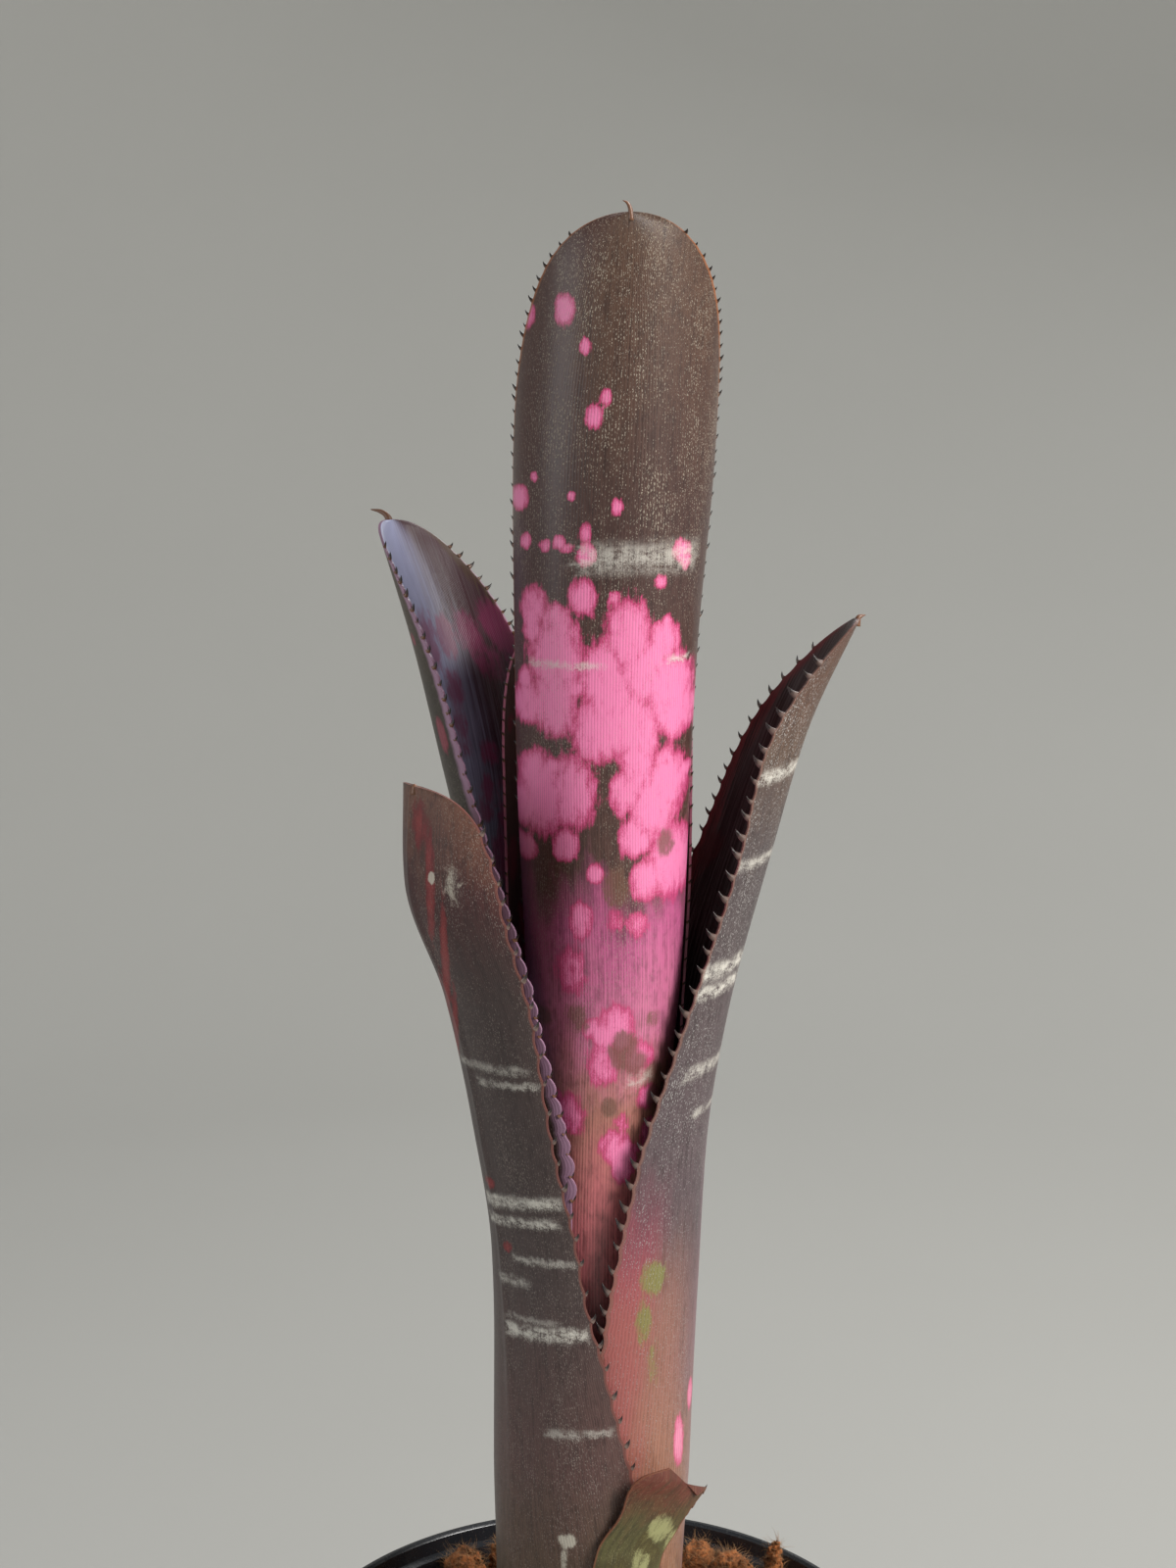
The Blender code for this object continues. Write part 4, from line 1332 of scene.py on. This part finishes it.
front_left = Leaf("leaf_front_left", 4, 205 * MM, 0.84, 0.31, LEAF_THICKNESS, [
    (0.00, 0.0, 0.0, 0.0, 226, 100),
    (0.145, 0.5, 0.0, 0.3, 225, 93),
    (0.29, 0.9, 0.0, 1.1, 220, 74),
    (0.415, 1.1, 0.0, 1.1, 216, 60),
    (0.51, 0.4, 0.0, 0.8, 213, 52),
    (0.65, -4.0, -2.0, 0.0, 210, 51),
    (0.78, -9.8, -5.6, -0.6, 210, 56),
    (0.90, -18.4, -10.5, -1.8, 210, 67),
    (1.00, -20.2, -11.8, -3.8, 211, 76),
])
FRONT_LEFT_TEETH = [
    Teeth(1, 46, 198, 5.6, 4.6, 1.7, 0.5, 0.7, 0.2),
    Teeth(-1, 60, 198, 4.2, 3.4, 1.2, 0.4, 0.6, 0.2),
]
FRONT_LEFT_ZONES = [
    (0.00, tone(92, 88, 54)), (0.20, tone(96, 76, 62)), (0.32, tone(92, 66, 62)),
    (0.50, tone(74, 60, 58)), (0.78, tone(66, 52, 50)), (0.90, tone(72, 38, 38)), (1.00, tone(118, 78, 62)),
]
FRONT_LEFT_BANDS = [
    (148, 0.7, 1.0, 0.5, -0.3, 0.9), (144.5, 0.6, 1.5, 0.6, 0.0, 1.0), (118.5, 1.0, 3.0, 1.0, -0.35, 1.0),
    (114.5, 0.8, 2.5, 0.95, -0.3, 0.9), (107, 0.6, 1.5, 0.6, 0.1, 1.0), (102, 0.8, 1.5, 0.6, -0.2, 0.4),
    (94.5, 0.5, 1.5, 0.4, -0.1, 0.7), (91.5, 1.1, 2.5, 1.0, -0.1, 1.0), (71, 0.7, 2.0, 0.5, 0.3, 1.0),
]
front_left_skin = leaf_skin(
    "front_left_leaf_skin", 205, FRONT_LEFT_ZONES, tone(160, 148, 138), (0.6, 0.65),
    (tone(104, 26, 32), tone(140, 50, 50)), (tone(120, 70, 62), 0.04, 0.8), FRONT_LEFT_BANDS, gloss=0.42,
    # painted shade: the tint darkens the left side of the blade, away from the key light
    patch=tone(206, 200, 184), tints_and_painted_light=[(-1, 0.1, 0.6, 230, 260, tone(48, 38, 36), 0.5)],
)
front_left_inside = inner_skin("front_left_leaf_inside", 205, INSIDE_ZONES, tone(110, 40, 50))


def keel(heights, sides):
    """A low ridge down the middle of the blade that fades towards the foot."""
    fade = np.clip((heights - 30 * MM) / (60 * MM), 0.25, 1)
    return 0.5 * MM * fade * np.exp(-((sides + 0.05) / 0.06) ** 2)


FRONT_LEFT_STREAKS = [
    (-31, 186, 0.9, 12, 0.8), (-28.5, 170, 0.8, 14, 0.85), (-27, 156, 0.7, 10, 0.7),
    (-33, 198, 1.6, 5, 0.7),
    (-20.5, 122, 1.0, 1.2, 0.8), (-17, 109, 0.9, 1.2, 0.8), (-30, 160, 0.5, 8, 0.6),
]
FRONT_LEFT_MARKS = [
    (-30.7, 188, 0.45, 1.0, 1.6), (-26.5, 187, 2.2, 5, 0.5), (-4.8, 49, 1.6, 1.4, 1.0),
    (-5.6, 45, 0.8, 3, 0.7),
]
show_leaf(front_left, FRONT_LEFT_TEETH, front_left_skin, front_left_inside, FRONT_LEFT_STREAKS, 5,
          "leaf_grey_brown", GREY_HORN, (8, 12, 30), keel, FRONT_LEFT_MARKS)
show(tip_spine(front_left, BROWN_HORN, 0.3, 0.8, 0.2, 0.9), "leaf_grey_brown")


# ---- The basal leaf --------------------------------------------------------------------------
# The lowest leaf, short and drying, olive with beige scurf. It curls over to the right at its
# end, where a few small dark teeth are left on its torn rim.

basal = Leaf("leaf_basal", 5, 60.5 * MM, 0.965, 0.12, 0.8 * MM, [
    (0.00, 0.0, 0.0, 0.0, 290, 34),
    (0.37, 0.1, -0.1, 0.5, 289, 25),
    (0.65, 0.2, -0.2, 0.6, 288, 19, -2),
    (0.76, 0.2, -0.3, 0.7, 291, 18.5, -4),
    (0.87, 0.3, -0.4, 1.5, 301.5, 18, -6),
    (0.94, 0.3, -0.5, 2.4, 307, 20, -8),
    (1.00, 0.3, -0.6, 3.8, 317, 25, -9),
])
BASAL_TEETH = [
    Teeth(-1, 50, 58.5, 2.4, 1.8, 0.9, 0.2, 0.7, 0.3),
    Teeth(1, 55.5, 60.2, 1.9, 1.6, 1.7, 0.2, 1.2, 0.2),
]
BASAL_ZONES = [
    (0.00, tone(110, 96, 60)), (0.35, tone(98, 92, 54)), (0.80, tone(90, 86, 52)),
    (0.92, tone(98, 72, 48)), (1.00, tone(112, 58, 46)),
]
basal_skin = leaf_skin(
    "basal_leaf_skin", 60.5, BASAL_ZONES, tone(176, 162, 124), (0.5, 0.35),
    (tone(72, 62, 34), tone(110, 104, 62)), (tone(120, 72, 52), 0.06, 0.8), gloss=0.5, veins=0.6,
    patch=tone(168, 168, 118),
)
basal_inside = inner_skin("basal_leaf_inside", 60.5, INSIDE_ZONES, tone(110, 60, 44))
BASAL_MARKS = [(14, 51, 2.5, 3, 0.8), (10, 44, 2, 3, 0.7), (17, 46, 2, 4, 0.7), (7, 36, 2, 4, 0.8)]
show_leaf(basal, BASAL_TEETH, basal_skin, basal_inside, [], 6, "leaf_olive", BROWN_HORN, (14, 4, 5),
          None, BASAL_MARKS)


# ---- The room --------------------------------------------------------------------------------
# A plain pale floor that sweeps up all round, one large soft light from the upper right, a
# weaker one from the left, and the viewer looking slightly down.

FLOOR_RADIUS = 0.75
SWEEP_RADIUS = 0.6
SWEEP_STEPS = 12
WALL_HEIGHT = 1.6
LIGHT_AIM = (0, 0, 0.27)
VIEW_LENS = 54.09
VIEW_PLACE = (-0.0007, -0.466, pot_height + 0.272)
VIEW_TILT = 80  # degrees up from straight down


def sweep():
    """The floor and its wall, as one smooth turned sheet that faces inwards."""
    profile = [(0.0, 0.0), (FLOOR_RADIUS, 0.0)]
    for step in range(1, SWEEP_STEPS + 1):
        turn = math.pi / 2 * step / SWEEP_STEPS
        profile.append((FLOOR_RADIUS + SWEEP_RADIUS * math.sin(turn), SWEEP_RADIUS * (1 - math.cos(turn))))
    profile.append((FLOOR_RADIUS + SWEEP_RADIUS, WALL_HEIGHT))
    made = lathe("floor_sweep", profile, 96, 0.01 * MM)
    middle = min(made.data.polygons, key=lambda face: face.center.xy.length)
    if middle.normal.z < 0:
        made.data.flip_normals()
    made.data.shade_smooth()
    return made


def soft_light(name, place, size, power, color):
    lamp = bpy.data.lights.new(name, "AREA")
    lamp.shape = "DISK"
    lamp.size = size
    lamp.energy = power
    lamp.color = color
    obj = bpy.data.objects.new(name, lamp)
    obj.location = place
    aim = Vector(LIGHT_AIM) - Vector(place)
    obj.rotation_euler = aim.to_track_quat("-Z", "Y").to_euler()
    bpy.context.scene.collection.objects.link(obj)


floor = sweep()
floor_paint = Finish("floor_paint")
floor_grain = floor_paint.grain(floor_paint.object_place(), 3, 3)
floor.data.materials.append(floor_paint.done(
    Base_Color=floor_paint.blend(floor_grain, (0.40, 0.397, 0.375), (0.43, 0.427, 0.405)), Roughness=0.95,
))
soft_light("key_light", (0.80, -0.50, 0.85), 0.5, 17, (1.0, 0.985, 0.96))
soft_light("side_light", (-0.95, -0.45, 0.55), 0.7, 3.5, (0.90, 0.95, 1.0))
soft_light("back_light", (0.35, 0.85, 1.05), 0.6, 5, (1.0, 1.0, 1.0))

world = bpy.data.worlds.new("studio_air")
world.use_nodes = True
air = world.node_tree.nodes["Background"]
air.inputs["Color"].default_value = (0.80, 0.81, 0.83, 1)
air.inputs["Strength"].default_value = 0.38
bpy.context.scene.world = world
bpy.context.scene.view_settings.view_transform = "Standard"

camera_data = bpy.data.cameras.new("viewer")
camera_data.lens = VIEW_LENS
camera_data.sensor_width = 36
camera_data.clip_start = 0.01
camera = bpy.data.objects.new("viewer", camera_data)
camera.location = VIEW_PLACE
camera.rotation_euler = (math.radians(VIEW_TILT), 0, 0)
bpy.context.scene.collection.objects.link(camera)
bpy.context.scene.camera = camera
